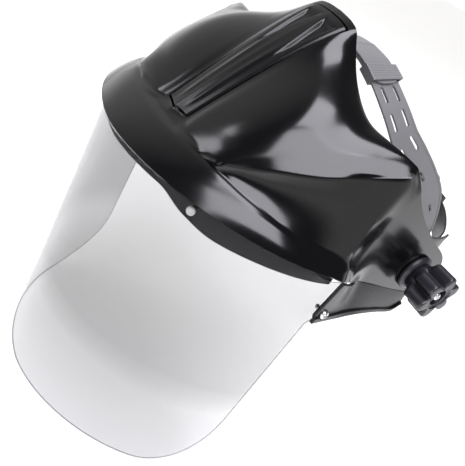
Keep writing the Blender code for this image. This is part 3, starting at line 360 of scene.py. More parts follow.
# ---------------------------------------------------------------- helpers
def new_object(name, bm, mat, smooth=35.0, recalc=True, up=None):
    bm.normal_update()
    if recalc:
        bmesh.ops.recalc_face_normals(bm, faces=bm.faces)
    if up is not None:
        f = max(bm.faces, key=lambda q: q.calc_center_median().dot(up))
        if f.normal.dot(up) < 0:
            bmesh.ops.reverse_faces(bm, faces=bm.faces)
    me = bpy.data.meshes.new(name)
    bm.to_mesh(me)
    bm.free()
    me.shade_smooth()
    me.set_sharp_from_angle(angle=math.radians(smooth))
    ob = bpy.data.objects.new(name, me)
    bpy.context.scene.collection.objects.link(ob)
    if mat:
        me.materials.append(mat)
    return ob


def baked(ob):
    """Apply every modifier, so the piece is one plain mesh."""
    dg = bpy.context.evaluated_depsgraph_get()
    dg.update()
    me = bpy.data.meshes.new_from_object(ob.evaluated_get(dg))
    ob.modifiers.clear()
    old = ob.data
    ob.data = me
    me.name = ob.name
    if old.users == 0:
        bpy.data.meshes.remove(old)
    return ob


def drop(*obs):
    for o in obs:
        bpy.data.objects.remove(o, do_unlink=True)


def bevel(ob, width, segments=2, angle=32.0):
    m = ob.modifiers.new("edge", "BEVEL")
    m.width = width / 1000
    m.segments = segments
    m.limit_method = "ANGLE"
    m.angle_limit = math.radians(angle)
    m.use_clamp_overlap = True
    return m


def cut(ob, cutters, op="DIFFERENCE"):
    for c in cutters:
        m = ob.modifiers.new("cut", "BOOLEAN")
        m.operation = op
        m.solver = "EXACT"
        m.object = c
    baked(ob)
    drop(*cutters)
    return ob


def smooth_by(ob, deg=35.0):
    ob.data.shade_smooth()
    ob.data.set_sharp_from_angle(angle=math.radians(deg))


def stands_for(ob, body, slot, *nodes):
    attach(ob, body)
    if nodes:
        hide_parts(*nodes)


def solidify(ob, t, offset=-1.0):
    m = ob.modifiers.new("wall", "SOLIDIFY")
    m.thickness = t / 1000
    m.offset = offset
    return m


def grid(fn, us, vs, sx=1):
    bm = bmesh.new()
    g = [[bm.verts.new(place(*fn(u, v))) for v in vs] for u in us]
    for i in range(len(us) - 1):
        for j in range(len(vs) - 1):
            bm.faces.new((g[i][j], g[i + 1][j], g[i + 1][j + 1], g[i][j + 1]))
    return bm


def mirrored(bm):
    """Adds the mirror image in X and welds the middle."""
    geom = bmesh.ops.duplicate(bm, geom=list(bm.verts) + list(bm.edges) + list(bm.faces))["geom"]
    vs = [v for v in geom if isinstance(v, bmesh.types.BMVert)]
    fs = [f for f in geom if isinstance(f, bmesh.types.BMFace)]
    for v in vs:
        v.co.x = -v.co.x
    bmesh.ops.reverse_faces(bm, faces=fs)
    bmesh.ops.remove_doubles(bm, verts=bm.verts, dist=0.00002)
    return bm


# ---------------------------------------------------------------- materials
def nodes_of(name):
    m = bpy.data.materials.new(name)
    m.use_nodes = True
    nt = m.node_tree
    return m, nt, nt.nodes["Principled BSDF"]


def noise(nt, scale, detail=3.0, rough=0.5, vec=None):
    tc = nt.nodes.new("ShaderNodeTexCoord")
    n = nt.nodes.new("ShaderNodeTexNoise")
    n.inputs["Scale"].default_value = scale
    n.inputs["Detail"].default_value = detail
    n.inputs["Roughness"].default_value = rough
    nt.links.new(vec if vec is not None else tc.outputs["Object"], n.inputs["Vector"])
    return n.outputs["Fac"]


def stretched(nt, scale):
    tc = nt.nodes.new("ShaderNodeTexCoord")
    mp = nt.nodes.new("ShaderNodeMapping")
    mp.inputs["Scale"].default_value = scale
    nt.links.new(tc.outputs["Object"], mp.inputs["Vector"])
    return mp.outputs["Vector"]


def ramp(nt, fac, stops):
    r = nt.nodes.new("ShaderNodeValToRGB")
    while len(r.color_ramp.elements) < len(stops):
        r.color_ramp.elements.new(0.5)
    for e, (p, c) in zip(r.color_ramp.elements, stops):
        e.position = p
        e.color = (*c, 1.0) if isinstance(c, tuple) else (c, c, c, 1.0)
    nt.links.new(fac, r.inputs["Fac"])
    return r.outputs["Color"]


def mapped(nt, fac, lo, hi, f0=0.0, f1=1.0):
    r = nt.nodes.new("ShaderNodeMapRange")
    r.inputs["From Min"].default_value = f0
    r.inputs["From Max"].default_value = f1
    r.inputs["To Min"].default_value = lo
    r.inputs["To Max"].default_value = hi
    nt.links.new(fac, r.inputs["Value"])
    return r.outputs["Result"]


def bump(nt, b, height, strength, dist=0.0002, chain=None):
    n = nt.nodes.new("ShaderNodeBump")
    n.inputs["Strength"].default_value = strength
    n.inputs["Distance"].default_value = dist
    nt.links.new(height, n.inputs["Height"])
    if chain is not None:
        nt.links.new(chain, n.inputs["Normal"])
    nt.links.new(n.outputs["Normal"], b.inputs["Normal"])
    return n.outputs["Normal"]


def speck(nt):
    """Sparse dust: 0 nearly everywhere, a little above it in small flecks."""
    return mapped(nt, noise(nt, 380.0, 4.0, 0.7), 0.0, 0.35, 0.66, 0.80)


def mix_colour(nt, fac, a, b_):
    m = nt.nodes.new("ShaderNodeMix")
    m.data_type = "RGBA"
    for sock, val in (("A", a), ("B", b_)):
        s = [q for q in m.inputs if q.name == sock and q.type == "RGBA"][0]
        if isinstance(val, tuple):
            s.default_value = (*val, 1.0)
        else:
            nt.links.new(val, s)
    f = [q for q in m.inputs if q.name == "Factor" and q.type == "VALUE"][0]
    nt.links.new(fac, f)
    return [q for q in m.outputs if q.type == "RGBA"][0]


def plastic(name, dark, light, rough, grain_scale, grain_strength, wear=(0.10, 0.10, 0.105), rough_var=0.04,
            coat=0.0, spec=0.5, grain_dist=0.0001):
    """Moulded plastic: mottled colour, smudged roughness, fine moulding grain, sparse flecks of the wear colour."""
    m, nt, b = nodes_of(name)
    base = mix_colour(nt, noise(nt, 34.0, 5.0, 0.6), dark, light)
    col = mix_colour(nt, speck(nt), base, wear)
    nt.links.new(col, b.inputs["Base Color"])
    smudge = noise(nt, 18.0, 6.0, 0.65)
    nt.links.new(mapped(nt, smudge, rough - rough_var, rough + rough_var, 0.3, 0.7), b.inputs["Roughness"])
    b.inputs["Specular IOR Level"].default_value = spec
    if coat:
        b.inputs["Coat Weight"].default_value = coat
        b.inputs["Coat Roughness"].default_value = 0.04
    bump(nt, b, noise(nt, grain_scale, 2.0), grain_strength, grain_dist)
    return m


def gloss_black():
    m, nt, b = nodes_of("mat_crown_gloss")
    base = mix_colour(nt, noise(nt, 26.0, 4.0), (0.0014, 0.0014, 0.0018), (0.0028, 0.0026, 0.0030))
    nt.links.new(mix_colour(nt, speck(nt), base, (0.010, 0.010, 0.011)), b.inputs["Base Color"])
    # a clean polished moulding with faint wiping smears and a slow waviness
    sm = noise(nt, 1.0, 6.0, 0.6, stretched(nt, (14.0, 30.0, 22.0)))
    nt.links.new(mapped(nt, sm, 0.13, 0.19, 0.35, 0.7), b.inputs["Roughness"])
    b.inputs["Specular IOR Level"].default_value = 0.42
    wav = bump(nt, b, noise(nt, 20.0, 1.0), 0.03, 0.0012)
    bump(nt, b, noise(nt, 900.0, 2.0), 0.03, 0.00004, wav)
    return m


def clear_sheet():
    """Clear plastic that soaks up a quarter of the light at each wall, more where it is seen edge-on, and more on its
    upper part as painted shade.
    """
    m, nt, b = nodes_of("mat_clear_sheet")
    tint = mix_colour(nt, noise(nt, 9.0, 3.0), (0.022, 0.020, 0.022), (0.036, 0.035, 0.040))
    nt.links.new(tint, b.inputs["Base Color"])
    sm = noise(nt, 1.0, 5.0, 0.6, stretched(nt, (10.0, 10.0, 26.0)))
    nt.links.new(mapped(nt, sm, 0.04, 0.12, 0.35, 0.75), b.inputs["Roughness"])
    lw = nt.nodes.new("ShaderNodeLayerWeight")
    lw.inputs["Blend"].default_value = 0.25
    edge = mapped(nt, lw.outputs["Facing"], 0.0, 0.16, 0.55, 1.0)
    sep = nt.nodes.new("ShaderNodeSeparateXYZ")
    tc = nt.nodes.new("ShaderNodeTexCoord")
    nt.links.new(tc.outputs["Object"], sep.inputs["Vector"])
    # painted shade: the sheet is more opaque, so darker, from about 108 mm below the tilt axis upwards than below about
    # 132 mm, for the dark patch in the upper visor
    painted_shade_band = mapped(nt, sep.outputs["Z"], 0.17, 0.29, -0.132, -0.108)
    add = nt.nodes.new("ShaderNodeMath")
    nt.links.new(edge, add.inputs[0])
    nt.links.new(painted_shade_band, add.inputs[1])
    nt.links.new(add.outputs[0], b.inputs["Alpha"])
    b.inputs["IOR"].default_value = 1.5
    b.inputs["Specular IOR Level"].default_value = 0.22
    return m


def sheet_edge():
    """The cut edge of the clear sheet: light piped along it leaves it a darker grey line."""
    m, nt, b = nodes_of("mat_sheet_edge")
    nt.links.new(mix_colour(nt, noise(nt, 160.0, 4.0), (0.16, 0.16, 0.17), (0.26, 0.26, 0.27)), b.inputs["Base Color"])
    nt.links.new(mapped(nt, noise(nt, 500.0, 3.0), 0.2, 0.4), b.inputs["Roughness"])
    nt.links.new(mapped(nt, noise(nt, 60.0, 3.0), 0.55, 0.75), b.inputs["Alpha"])
    return m


def steel(name, brushed=(900.0, 60.0, 60.0)):
    m, nt, b = nodes_of(name)
    n = noise(nt, 1.0, 3.0, 0.5, stretched(nt, brushed))
    nt.links.new(ramp(nt, n, [(0.3, (0.42, 0.42, 0.43)), (0.7, (0.66, 0.66, 0.67))]), b.inputs["Base Color"])
    nt.links.new(mapped(nt, n, 0.18, 0.36), b.inputs["Roughness"])
    b.inputs["Metallic"].default_value = 1.0
    bump(nt, b, n, 0.12, 0.00004)
    return m


def fabric(name, dark, light, thread=0.9):
    """Knitted cloth over foam: small loops in rows with painted shade in the hollows between them, lint and a soft
    sheen.
    """
    m, nt, b = nodes_of(name)
    tc = nt.nodes.new("ShaderNodeTexCoord")
    waves = []
    for direction, scale in (("X", thread), ("Z", thread)):
        w = nt.nodes.new("ShaderNodeTexWave")
        w.wave_type = "BANDS"
        w.bands_direction = direction
        w.inputs["Scale"].default_value = scale * 170.0
        w.inputs["Distortion"].default_value = 1.2
        w.inputs["Detail Scale"].default_value = 3.0
        nt.links.new(tc.outputs["Object"], w.inputs["Vector"])
        waves.append(w.outputs["Fac"])
    mul = nt.nodes.new("ShaderNodeMath")
    mul.operation = "MULTIPLY"
    nt.links.new(waves[0], mul.inputs[0])
    nt.links.new(waves[1], mul.inputs[1])
    fuzz = noise(nt, 700.0, 3.0)
    add = nt.nodes.new("ShaderNodeMath")
    nt.links.new(mul.outputs[0], add.inputs[0])
    nt.links.new(mapped(nt, fuzz, 0.0, 0.5), add.inputs[1])
    tone = mix_colour(nt, noise(nt, 30.0, 5.0), dark, light)
    # painted shade: the hollows of the loop pattern get the cloth colour at 45 per cent
    tone_with_gap_shade = mix_colour(nt, mapped(nt, add.outputs[0], 0.0, 1.0, 0.1, 1.1), tuple(c * 0.45 for c in dark), tone)
    nt.links.new(tone_with_gap_shade, b.inputs["Base Color"])
    nt.links.new(mapped(nt, fuzz, 0.82, 0.98), b.inputs["Roughness"])
    b.inputs["Sheen Weight"].default_value = 0.35
    b.inputs["Sheen Roughness"].default_value = 0.5
    bump(nt, b, add.outputs[0], 0.55, 0.0004)
    return m


CROWN = gloss_black()
PANEL = plastic("mat_panel", (0.0026, 0.0026, 0.0030), (0.0045, 0.0043, 0.0048), 0.20, 1500.0, 0.05, rough_var=0.04, spec=0.30)
SATIN = plastic("mat_satin_black", (0.012, 0.012, 0.0135), (0.019, 0.0185, 0.020), 0.42, 1300.0, 0.20, rough_var=0.05, spec=0.35)
BRACKET = plastic("mat_bracket", (0.004, 0.004, 0.0046), (0.007, 0.007, 0.008), 0.28, 1300.0, 0.10, rough_var=0.05, spec=0.20)
CARRIER = plastic("mat_carrier", (0.0022, 0.0022, 0.0022), (0.004, 0.0037, 0.0037), 0.46, 1300.0, 0.16, rough_var=0.05, spec=0.18)
KNOB = plastic("mat_knob", (0.008, 0.008, 0.011), (0.013, 0.013, 0.017), 0.38, 1700.0, 0.40, rough_var=0.06,
               wear=(0.12, 0.12, 0.13))
STRAP = plastic("mat_strap_grey", (0.118, 0.118, 0.123), (0.146, 0.145, 0.150), 0.45, 1500.0, 0.22,
                wear=(0.30, 0.30, 0.31), rough_var=0.05)
STUD = plastic("mat_clear_stud", (0.30, 0.30, 0.30), (0.40, 0.40, 0.39), 0.22, 1000.0, 0.05, wear=(0.9, 0.9, 0.9))
CLEAR = clear_sheet()
SHEET_EDGE = sheet_edge()
METAL = steel("mat_steel")
FIBRE = plastic("mat_fibre", (0.030, 0.029, 0.028), (0.055, 0.053, 0.050), 0.80, 800.0, 0.6, wear=(0.09, 0.085, 0.08))
GEARS = plastic("mat_gear", (0.52, 0.52, 0.50), (0.62, 0.62, 0.60), 0.42, 1200.0, 0.2, wear=(0.7, 0.7, 0.68))
CLOTH = fabric("mat_cloth", (0.022, 0.022, 0.024), (0.038, 0.038, 0.041))
THREAD = fabric("mat_thread", (0.055, 0.055, 0.06), (0.085, 0.085, 0.09), 2.2)


# ---------------------------------------------------------------- crown
def smoothstep(a, b_, x):
    t = min(1.0, max(0.0, (x - a) / (b_ - a)))
    return t * t * (3 - 2 * t)


def dense(knots, n):
    """Grid stations through every knot, n per unit length between them."""
    out = [knots[0]]
    for a, b_ in zip(knots, knots[1:]):
        k = max(1, int(round((b_ - a) * n)))
        out += [a + (b_ - a) * i / k for i in range(1, k + 1)]
    return out


def soft_point(s, row):
    """crown_point with the sides of the dome evened out along the columns."""
    if s <= S_PANEL + 0.012 or s >= S_FOLD or row <= 0.40:
        return crown_point(s, row)
    r = min(0.075, s - S_PANEL - 0.012, S_FOLD - s) * min(1.0, (row - 0.40) / 0.08)
    w = ((-1.0, 1), (-0.66, 2), (-0.33, 3), (0.0, 3), (0.33, 3), (0.66, 2), (1.0, 1))
    pts = [(crown_point(s + k * r, row), q) for k, q in w]
    return tuple(sum(p[c] * q for p, q in pts) / 15.0 for c in range(3))


def build_vis_crown():
    e = 0.0022
    ra, rb = PANEL_ROWS
    cols = dense([0, S_PANEL - e - 0.001], 110) + dense([S_PANEL - e, S_PANEL + e], 500) \
        + dense([S_PANEL + e + 0.001, S_HUMP, 0.56, S_FOLD], 120)[0:] + dense([S_FOLD, 0.67, 1.0], 90)[1:]
    rows = dense([0, 0.14], 70) + dense([0.14, 0.18], 110)[1:] + dense([0.18, 0.40], 80)[1:] \
        + [ra - 0.003, ra - 0.001, ra + 0.001, ra + 0.003] + dense([ra + 0.004, rb - 0.004], 75) \
        + [rb - 0.003, rb - 0.001, rb + 0.001, rb + 0.003] + dense([rb + 0.004, 1.0], 90)

    def fn(s, row):
        p = Vector(soft_point(s, row))
        # soft shoulders to the recess
        ds = 1.0 - smoothstep(S_PANEL - e - 0.0005, S_PANEL - e + 0.0030, s)
        dr = smoothstep(ra - 0.0022, ra + 0.0022, row) * (1 - smoothstep(rb - 0.0022, rb + 0.0022, row))
        if ds * dr > 0:
            p -= crown_normal(s, row) * (PANEL_DEPTH * ds * dr)
        if s == 0:
            p.x = 0.0
        return p
    bm = grid(fn, cols, rows)
    bm.normal_update()
    mirrored(bm)
    ob = new_object("crown_moulding", bm, CROWN, smooth=38, up=Vector((0, 0, 1)))
    solidify(ob, CROWN_T)
    baked(ob)
    cutters = []
    for sx in (1, -1):
        c = cone("ear_cut", BOLT_R + 0.6, 95 * sx, 110 * sx, 0, 0, 48)
        cutters.append(c)
    cut(ob, cutters)
    bevel(ob, 0.45, 2, 50)
    smooth_by(ob, 38)
    baked(ob)
    stands_for(ob, "shell", "crown_black", "crown_shell")
    return ob


def cone(name, r, x0, x1, y, z, seg, axis="X", r2=None):
    lo, hi = min(x0, x1), max(x0, x1)
    bm = bmesh.new()
    bmesh.ops.create_cone(bm, cap_ends=True, segments=seg, radius1=r / 1000,
                          radius2=(r if r2 is None else r2) / 1000, depth=(hi - lo) / 1000)
    mid = (lo + hi) / 2000
    if axis == "X":
        rot, loc = Matrix.Rotation(math.pi / 2, 4, "Y"), Vector((mid, y / 1000, z / 1000))
    else:
        rot, loc = Matrix.Rotation(-math.pi / 2, 4, "X"), Vector((y / 1000, mid, z / 1000))
    bmesh.ops.transform(bm, matrix=Matrix.Translation(loc) @ rot, verts=bm.verts)
    return new_object(name, bm, None)


def dart(u, row):
    """Depth of the two triangular recesses at the panel's rear end (u is 0 mid, 1 at the panel's edge)."""
    d = 0.0
    for (au, ar), (bu, br), (cu, cr) in (((0.66, 0.70), (0.10, 0.935), (0.84, 0.935)),):
        inside = []
        pts = [(au, (ar) * 3), (bu, br * 3), (cu, cr * 3)]
        q = (abs(u), row * 3)
        sgn = None
        dist = 9.0
        for i in range(3):
            x0, y0 = pts[i]
            x1, y1 = pts[(i + 1) % 3]
            cr_ = (x1 - x0) * (q[1] - y0) - (y1 - y0) * (q[0] - x0)
            dd = cr_ / math.hypot(x1 - x0, y1 - y0)
            inside.append(dd)
        if all(v > 0 for v in inside) or all(v < 0 for v in inside):
            dist = min(abs(v) for v in inside)
            d = smoothstep(0.0, 0.13, dist)
    return d


def build_vis_panel():
    e = 0.0042
    ra, rb = PANEL_ROWS
    lim = S_PANEL - e - 0.0022
    cols = dense([0, lim], 620)
    rows = dense([ra + 0.0075, rb - 0.0075], 230)

    def fn(s, row):
        p = Vector(crown_point(s, row))
        u = s / lim
        # two long raised ribs that run together towards the front
        f = (row - rows[0]) / (rows[-1] - rows[0])
        rib = math.exp(-((u - 0.42) / 0.13) ** 2) * 0.55 * smoothstep(0.0, 0.25, f) * (1 - smoothstep(0.45, 0.75, f))
        edge = 0.45 * (1 - smoothstep(0.0, 0.12, 1 - u))
        h = 0.35 + rib - edge - 2.1 * dart(u, row)
        p += crown_normal(s, row) * h
        if s == 0:
            p.x = 0.0
        return p
    bm = mirrored(grid(fn, cols, rows))
    for _ in range(4):
        bmesh.ops.smooth_vert(bm, verts=[v for v in bm.verts if not v.is_boundary], factor=0.5,
                              use_axis_x=True, use_axis_y=True, use_axis_z=True)
    ob = new_object("crown_panel", bm, PANEL, smooth=38, up=Vector((0, 0, 1)))
    solidify(ob, PANEL_DEPTH + 0.1 - GAP - 0.3)
    baked(ob)
    bevel(ob, 0.3, 2, 50)
    baked(ob)
    smooth_by(ob, 38)
    stands_for(ob, "shell", "panel_black", "top_panel")
    return ob


# ---------------------------------------------------------------- visor
def build_vis_visor():
    n, rows = 180, 60
    pts = visor_section(n=n)
    s = arc_lengths(pts)
    half = s[-1] / 2
    bm = bmesh.new()
    g = []
    for i, ((x, y), si) in enumerate(zip(pts, s)):
        top = side_top(abs(-90.0 + 180.0 * i / n), VISOR_TOP, -5.6)
        q = min(1.0, max(0.0, (abs(si - half) - (half - VISOR_CORNER)) / VISOR_CORNER))
        q = min(q, 0.9995)
        low = -VISOR_DROP + VISOR_CORNER * (1 - math.sqrt(max(0.0, 1 - q * q)))
        col = []
        for j in range(rows + 1):
            z = lerp(top, low, j / rows)
            k = taper(z)
            col.append((x * k, y * k, z))
        g.append(col)
    out = []
    for end in (0, -1):
        tabs = []
        for m in (3, 2, 1):
            tab = []
            for (x, y, z) in g[end]:
                f = smoothstep(-42.0, -35.0, z)
                tab.append((x, y + TAB * m / 3 * max(0.02, f), z))
            tabs.append(tab)
        out.append(tabs)
    g = out[0] + g + list(reversed(out[1]))
    vs = [[bm.verts.new(place(*p)) for p in col] for col in g]
    for i in range(len(vs) - 1):
        for j in range(rows):
            bm.faces.new((vs[i][j], vs[i][j + 1], vs[i + 1][j + 1], vs[i + 1][j]))
    ob = new_object("visor_sheet", bm, CLEAR, smooth=50, up=Vector((0, -1, 0)))
    ob.data.materials.append(SHEET_EDGE)
    solidify(ob, VISOR_T)
    ob.modifiers[-1].material_offset_rim = 1
    baked(ob)
    cutters = []
    for sx in (1, -1):
        p = Vector((sx * 113.0, 3.5, -29.0))
        cutters.append(rod("screw_cut", p, Vector((sx, 0, 0)), [(-8, 1.9), (8, 1.9)], 24))
        q, nn = stud_frame(36.0 * sx)
        cutters.append(rod("stud_cut", q, nn, [(-6, 2.3), (3, 2.3)], 24))
    cut(ob, cutters)
    smooth_by(ob, 50)
    stands_for(ob, "shell", "clear_sheet", "visor")
    return ob


def rod(name, p, n, stations, seg=24, mat=None):
    up = Vector((0, 0, 1))
    u = n.cross(up).normalized()
    v = n.cross(u).normalized()
    bm = bmesh.new()
    rings = []
    for d, r in stations:
        c = p + n * d
        rings.append([bm.verts.new(place(*(c + u * (r * math.cos(a)) + v * (r * math.sin(a)))))
                      for a in [2 * math.pi * k / seg for k in range(seg)]])
    for a, b_ in zip(rings, rings[1:]):
        for k in range(seg):
            bm.faces.new((a[k], a[(k + 1) % seg], b_[(k + 1) % seg], b_[k]))
    bm.faces.new(rings[0])
    bm.faces.new(list(reversed(rings[-1])))
    return new_object(name, bm, mat)


def build_vis_carrier():
    n = 130
    bm = bmesh.new()
    g = []
    for i in range(n + 1):
        ang = math.radians(-86 + 172 * i / n)
        deg = abs(math.degrees(ang))
        x, y = plan(VISOR_HALF_W - VISOR_T - GAP, VISOR_DEPTH - VISOR_T - GAP, VISOR_POWER, abs(ang))
        x = math.copysign(x, ang) if abs(ang) > 1e-9 else 0.0
        top = side_top(deg, CARRIER_TOP, -4.0)
        low = curve_at(CARRIER_LOW, deg)[0]
        col = []
        for f in [k / 12 for k in range(13)]:
            z = lerp(top, low, f)
            k = taper(z)
            col.append(bm.verts.new(place(x * k, y * k, z)))
        g.append(col)
    for i in range(n):
        for j in range(12):
            bm.faces.new((g[i][j], g[i][j + 1], g[i + 1][j + 1], g[i + 1][j]))
    ob = new_object("visor_rail", bm, CARRIER, smooth=40, up=Vector((0, -1, 0)))
    solidify(ob, CARRIER_T)
    baked(ob)
    cutters = []
    for sx in (1, -1):
        q, nn = stud_frame(36.0 * sx)
        cutters.append(rod("stud_cut", q, nn, [(-6, 2.3), (3, 2.3)], 24))
    cut(ob, cutters)
    bevel(ob, 0.35, 2, 50)
    baked(ob)
    smooth_by(ob, 38)
    stands_for(ob, "shell", "satin_black", "visor_carrier")
    return ob


def build_vis_studs():
    for sx, side in ((1, "left"), (-1, "right")):
        p, n = stud_frame(36.0 * sx)
        ob = rod("stud_" + side, p, n,
                 [(-5.4, 1.2), (-5.1, 1.6), (-4.4, 1.95), (0.3, 1.95), (0.31, 2.4), (0.45, 2.65), (1.2, 2.7), (1.7, 2.5),
                  (2.05, 2.1), (2.2, 1.6), (1.75, 1.3), (1.7, 0.8)], 40, STUD)
        stands_for(ob, "shell", "clear_stud", "visor_stud_" + side)


# ---------------------------------------------------------------- brackets
def build_vis_bracket(sx, side):
    us = dense([0, 0.2, 1.0], 60)
    vs = dense([0.0, 0.80], 34) + [0.82, 0.835, 0.85, 0.86, 0.87, 0.88, 0.89, 0.90, 0.92, 0.95, 0.98, 1.0]

    def fn(u, v):
        p = list(bracket_outer(u, v))
        p[0] = (p[0] + 1.5 * smoothstep(0.835, 0.885, v)) * sx
        return p
    ob = new_object("bracket_" + side, grid(fn, us, vs), BRACKET, smooth=40, up=Vector((sx, 0, 0)))
    solidify(ob, 2.2)
    baked(ob)
    p = Vector((sx * 113.0, 3.5, -29.0))
    cut(ob, [rod("hole", p, Vector((sx, 0, 0)), [(-8, 1.9), (1.2, 1.9), (1.21, 3.5), (8, 3.5)], 32)])
    bevel(ob, 0.4, 2, 50)
    baked(ob)
    smooth_by(ob, 38)
    stands_for(ob, "shell", "satin_black", "side_bracket_" + side)
    # screw with a cross recess
    sc = rod("screw_" + side, p, Vector((sx, 0, 0)),
             [(-6.0, 1.0), (-5.6, 1.35), (-5.2, 1.5), (1.5, 1.5), (1.51, 2.9), (1.65, 3.1), (2.3, 3.08), (2.9, 2.75),
              (3.35, 2.1), (3.55, 1.2)], 40, METAL)
    cc = []
    for w, h in ((0.5, 2.1), (2.1, 0.5)):
        bm = bmesh.new()
        bmesh.ops.create_cube(bm, size=1.0)
        for v in bm.verts:
            v.co = place(p.x + sx * (3.3 + v.co.x * 1.6), p.y + v.co.y * 2 * w, p.z + v.co.z * 2 * h)
        cc.append(new_object("cross", bm, None))
    cut(sc, cc)
    smooth_by(sc, 38)
    stands_for(sc, "shell", "steel", "bracket_screw_" + side)


# ---------------------------------------------------------------- headgear
def ring_sweep(name, path, profile, mat, smooth=35):
    """profile is a closed outline (across, out) in mm, swept through (centre, out, width, scale)."""
    bm = bmesh.new()
    rings = []
    for c, n, w, k in path:
        rings.append([bm.verts.new(place(*(c + w * (a * k) + n * b_))) for a, b_ in profile])
    m = len(profile)
    for a, b_ in zip(rings, rings[1:]):
        for k in range(m):
            bm.faces.new((a[k], a[(k + 1) % m], b_[(k + 1) % m], b_[k]))
    bm.faces.new(rings[0])
    bm.faces.new(list(reversed(rings[-1])))
    return new_object(name, bm, mat, smooth)


def band_profile(hw, t, rim=0.0, rim_w=2.0, r=0.35):
    """Flat strip with rounded edges and, if asked, a raised rim along both edges."""
    pts = [(-hw + r, 0), (hw - r, 0), (hw, r)]
    if rim:
        pts += [(hw, t + rim - r), (hw - r, t + rim), (hw - rim_w, t + rim), (hw - rim_w - rim, t),
                (-hw + rim_w + rim, t), (-hw + rim_w, t + rim), (-hw + r, t + rim), (-hw, t + rim - r)]
    else:
        pts += [(hw, t - r), (hw - r, t), (-hw + r, t), (-hw, t - r)]
    pts.append((-hw, r))
    return pts


def build_vis_headband():
    up = Vector((0, 0, 1))
    path = []
    n = 150
    for i in range(n + 1):
        d = -118 + 236 * i / n
        p, nn = loop_point(d)
        # rounded ends
        k = 1.0
        end = 118 - abs(d)
        if end < 5:
            k = math.sqrt(max(0.06, 1 - ((5 - end) / 5) ** 2)) * 0.45 + 0.55
        path.append((p + up * band_z(d), nn, up, k))
    ob = ring_sweep("headband_strip", path, band_profile(BAND_H / 2, BAND_T - 0.35, 0.35, 2.6, 0.3), SATIN)
    cutters, plates = [], []
    for sx, side in ((1, "left"), (-1, "right")):
        bm = bmesh.new()
        bmesh.ops.create_cone(bm, cap_ends=True, segments=72, radius1=0.021, radius2=0.021, depth=0.0026)
        bmesh.ops.transform(bm, matrix=Matrix.Translation((sx * 0.0869, 0, 0)) @ Matrix.Rotation(math.pi / 2, 4, "Y"),
                            verts=bm.verts)
        plates.append(new_object("plate", bm, None))
        cutters.append(cone("ph", BOLT_R + 0.4, 80 * sx, 92 * sx, 0, 0, 40))
        cutters.append(cone("pg", 3.0, 76 * sx, 94 * sx, PEG_Y, PEG_Z, 40))
        # row of vent slots in the forehead part
    for deg in (-40, -28, -16, 16, 28, 40):
        p, nn = loop_point(deg)
        t = Vector((-nn.y, nn.x, 0))
        bm = bmesh.new()
        bmesh.ops.create_cube(bm, size=1.0)
        for v in bm.verts:
            q = v.co.copy()
            v.co = place(*(p + up * (band_z(deg) + 5.5 + q.z * 3.0) + t * (q.x * 9.0) + nn * (q.y * 8.0)))
        c = new_object("vent", bm, None)
        bevel(c, 1.4, 4)
        baked(c)
        cutters.append(c)
    cut(ob, plates, "UNION")
    cut(ob, cutters)
    bevel(ob, 0.25, 2, 45)
    baked(ob)
    smooth_by(ob, 38)
    stands_for(ob, "headgear", "satin_black", "headband")


def pad_profile(hw, t, n=28, bulge=1.0):
    """Crowned cushion section: flat against the band, swelling towards the head."""
    pts = []
    for i in range(n + 1):
        a = math.pi * i / n
        x = math.cos(a)
        pts.append((hw * math.copysign(abs(x) ** 0.55, x), -t * abs(math.sin(a)) ** 0.62 * bulge))
    return pts


def build_vis_sweatband():
    up = Vector((0, 0, 1))
    lo, hi, n = -63, 63, 190
    bm = bmesh.new()
    rings = []
    prof = pad_profile(BAND_H / 2 - 0.8, 5.0)
    for i in range(n + 1):
        d = lerp(lo, hi, i / n)
        p, nn = loop_point(d)
        end = min(i, n - i) / 7.0
        k = math.sqrt(max(0.0, 1 - (1 - min(1.0, end)) ** 2)) * 0.7 + 0.3
        # quilting: a sewn channel every 21 degrees draws the pad in
        ph = abs(((d + 63) / 21.0) % 1.0 - 0.5) * 2
        q = 1.0 - 0.42 * math.exp(-((1 - ph) / 0.075) ** 2)
        ripple = 1 + 0.03 * math.sin(d * 1.9) * math.sin(d * 0.7 + 1)
        ring = []
        for a, b_ in prof:
            edge = abs(a) / (BAND_H / 2)
            ring.append(bm.verts.new(place(*(p - nn * GAP + up * (band_z(d) + a * (0.93 + 0.07 * k))
                                             + nn * (b_ * k * (q if edge < 0.93 else 1.0) * ripple)))))
        rings.append(ring)
    m = len(prof)
    for a, b_ in zip(rings, rings[1:]):
        for k in range(m):
            bm.faces.new((a[k], a[(k + 1) % m], b_[(k + 1) % m], b_[k]))
    bm.faces.new(rings[0])
    bm.faces.new(list(reversed(rings[-1])))
    ob = new_object("brow_pad", bm, CLOTH, smooth=60)
    stands_for(ob, "headgear", "foam", "sweatband")
    # stitching along both long edges
    stitch(ob, "brow_stitches", [(d_, s_) for s_ in (1, -1) for d_ in [lo + 2 + 1.6 * k for k in range(int((hi - lo - 4) / 1.6))]],
           "headgear")


def stitch(pad, name, places, body):
    up = Vector((0, 0, 1))
    bm = bmesh.new()
    for d, s_ in places:
        p, nn = loop_point(d)
        t = Vector((-nn.y, nn.x, 0))
        zz = band_z(d) + s_ * (BAND_H / 2 - 2.4)
        c = p - nn * (GAP + 3.25) + up * zz
        ring0 = []
        segs = 5
        prev = None
        for i in range(segs + 1):
            f = -1 + 2 * i / segs
            cc = c + t * (f * 0.85) + nn * (0.55 * (f * f))
            ring = [bm.verts.new(place(*(cc + up * (0.26 * math.cos(a)) + nn * (0.26 * math.sin(a)))))
                    for a in [2 * math.pi * k / 6 for k in range(6)]]
            if prev:
                for k in range(6):
                    bm.faces.new((prev[k], prev[(k + 1) % 6], ring[(k + 1) % 6], ring[k]))
            else:
                bm.faces.new(ring)
            prev = ring
        bm.faces.new(list(reversed(prev)))
    ob = new_object(name, bm, THREAD, smooth=60)
    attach(ob, body)


def strap_half(t):
    f = min(1.0, max(0.0, (t - 0.86) / 0.12))
    return lerp(STRAP_W / 2, 7.0, f * f * (3 - 2 * f))


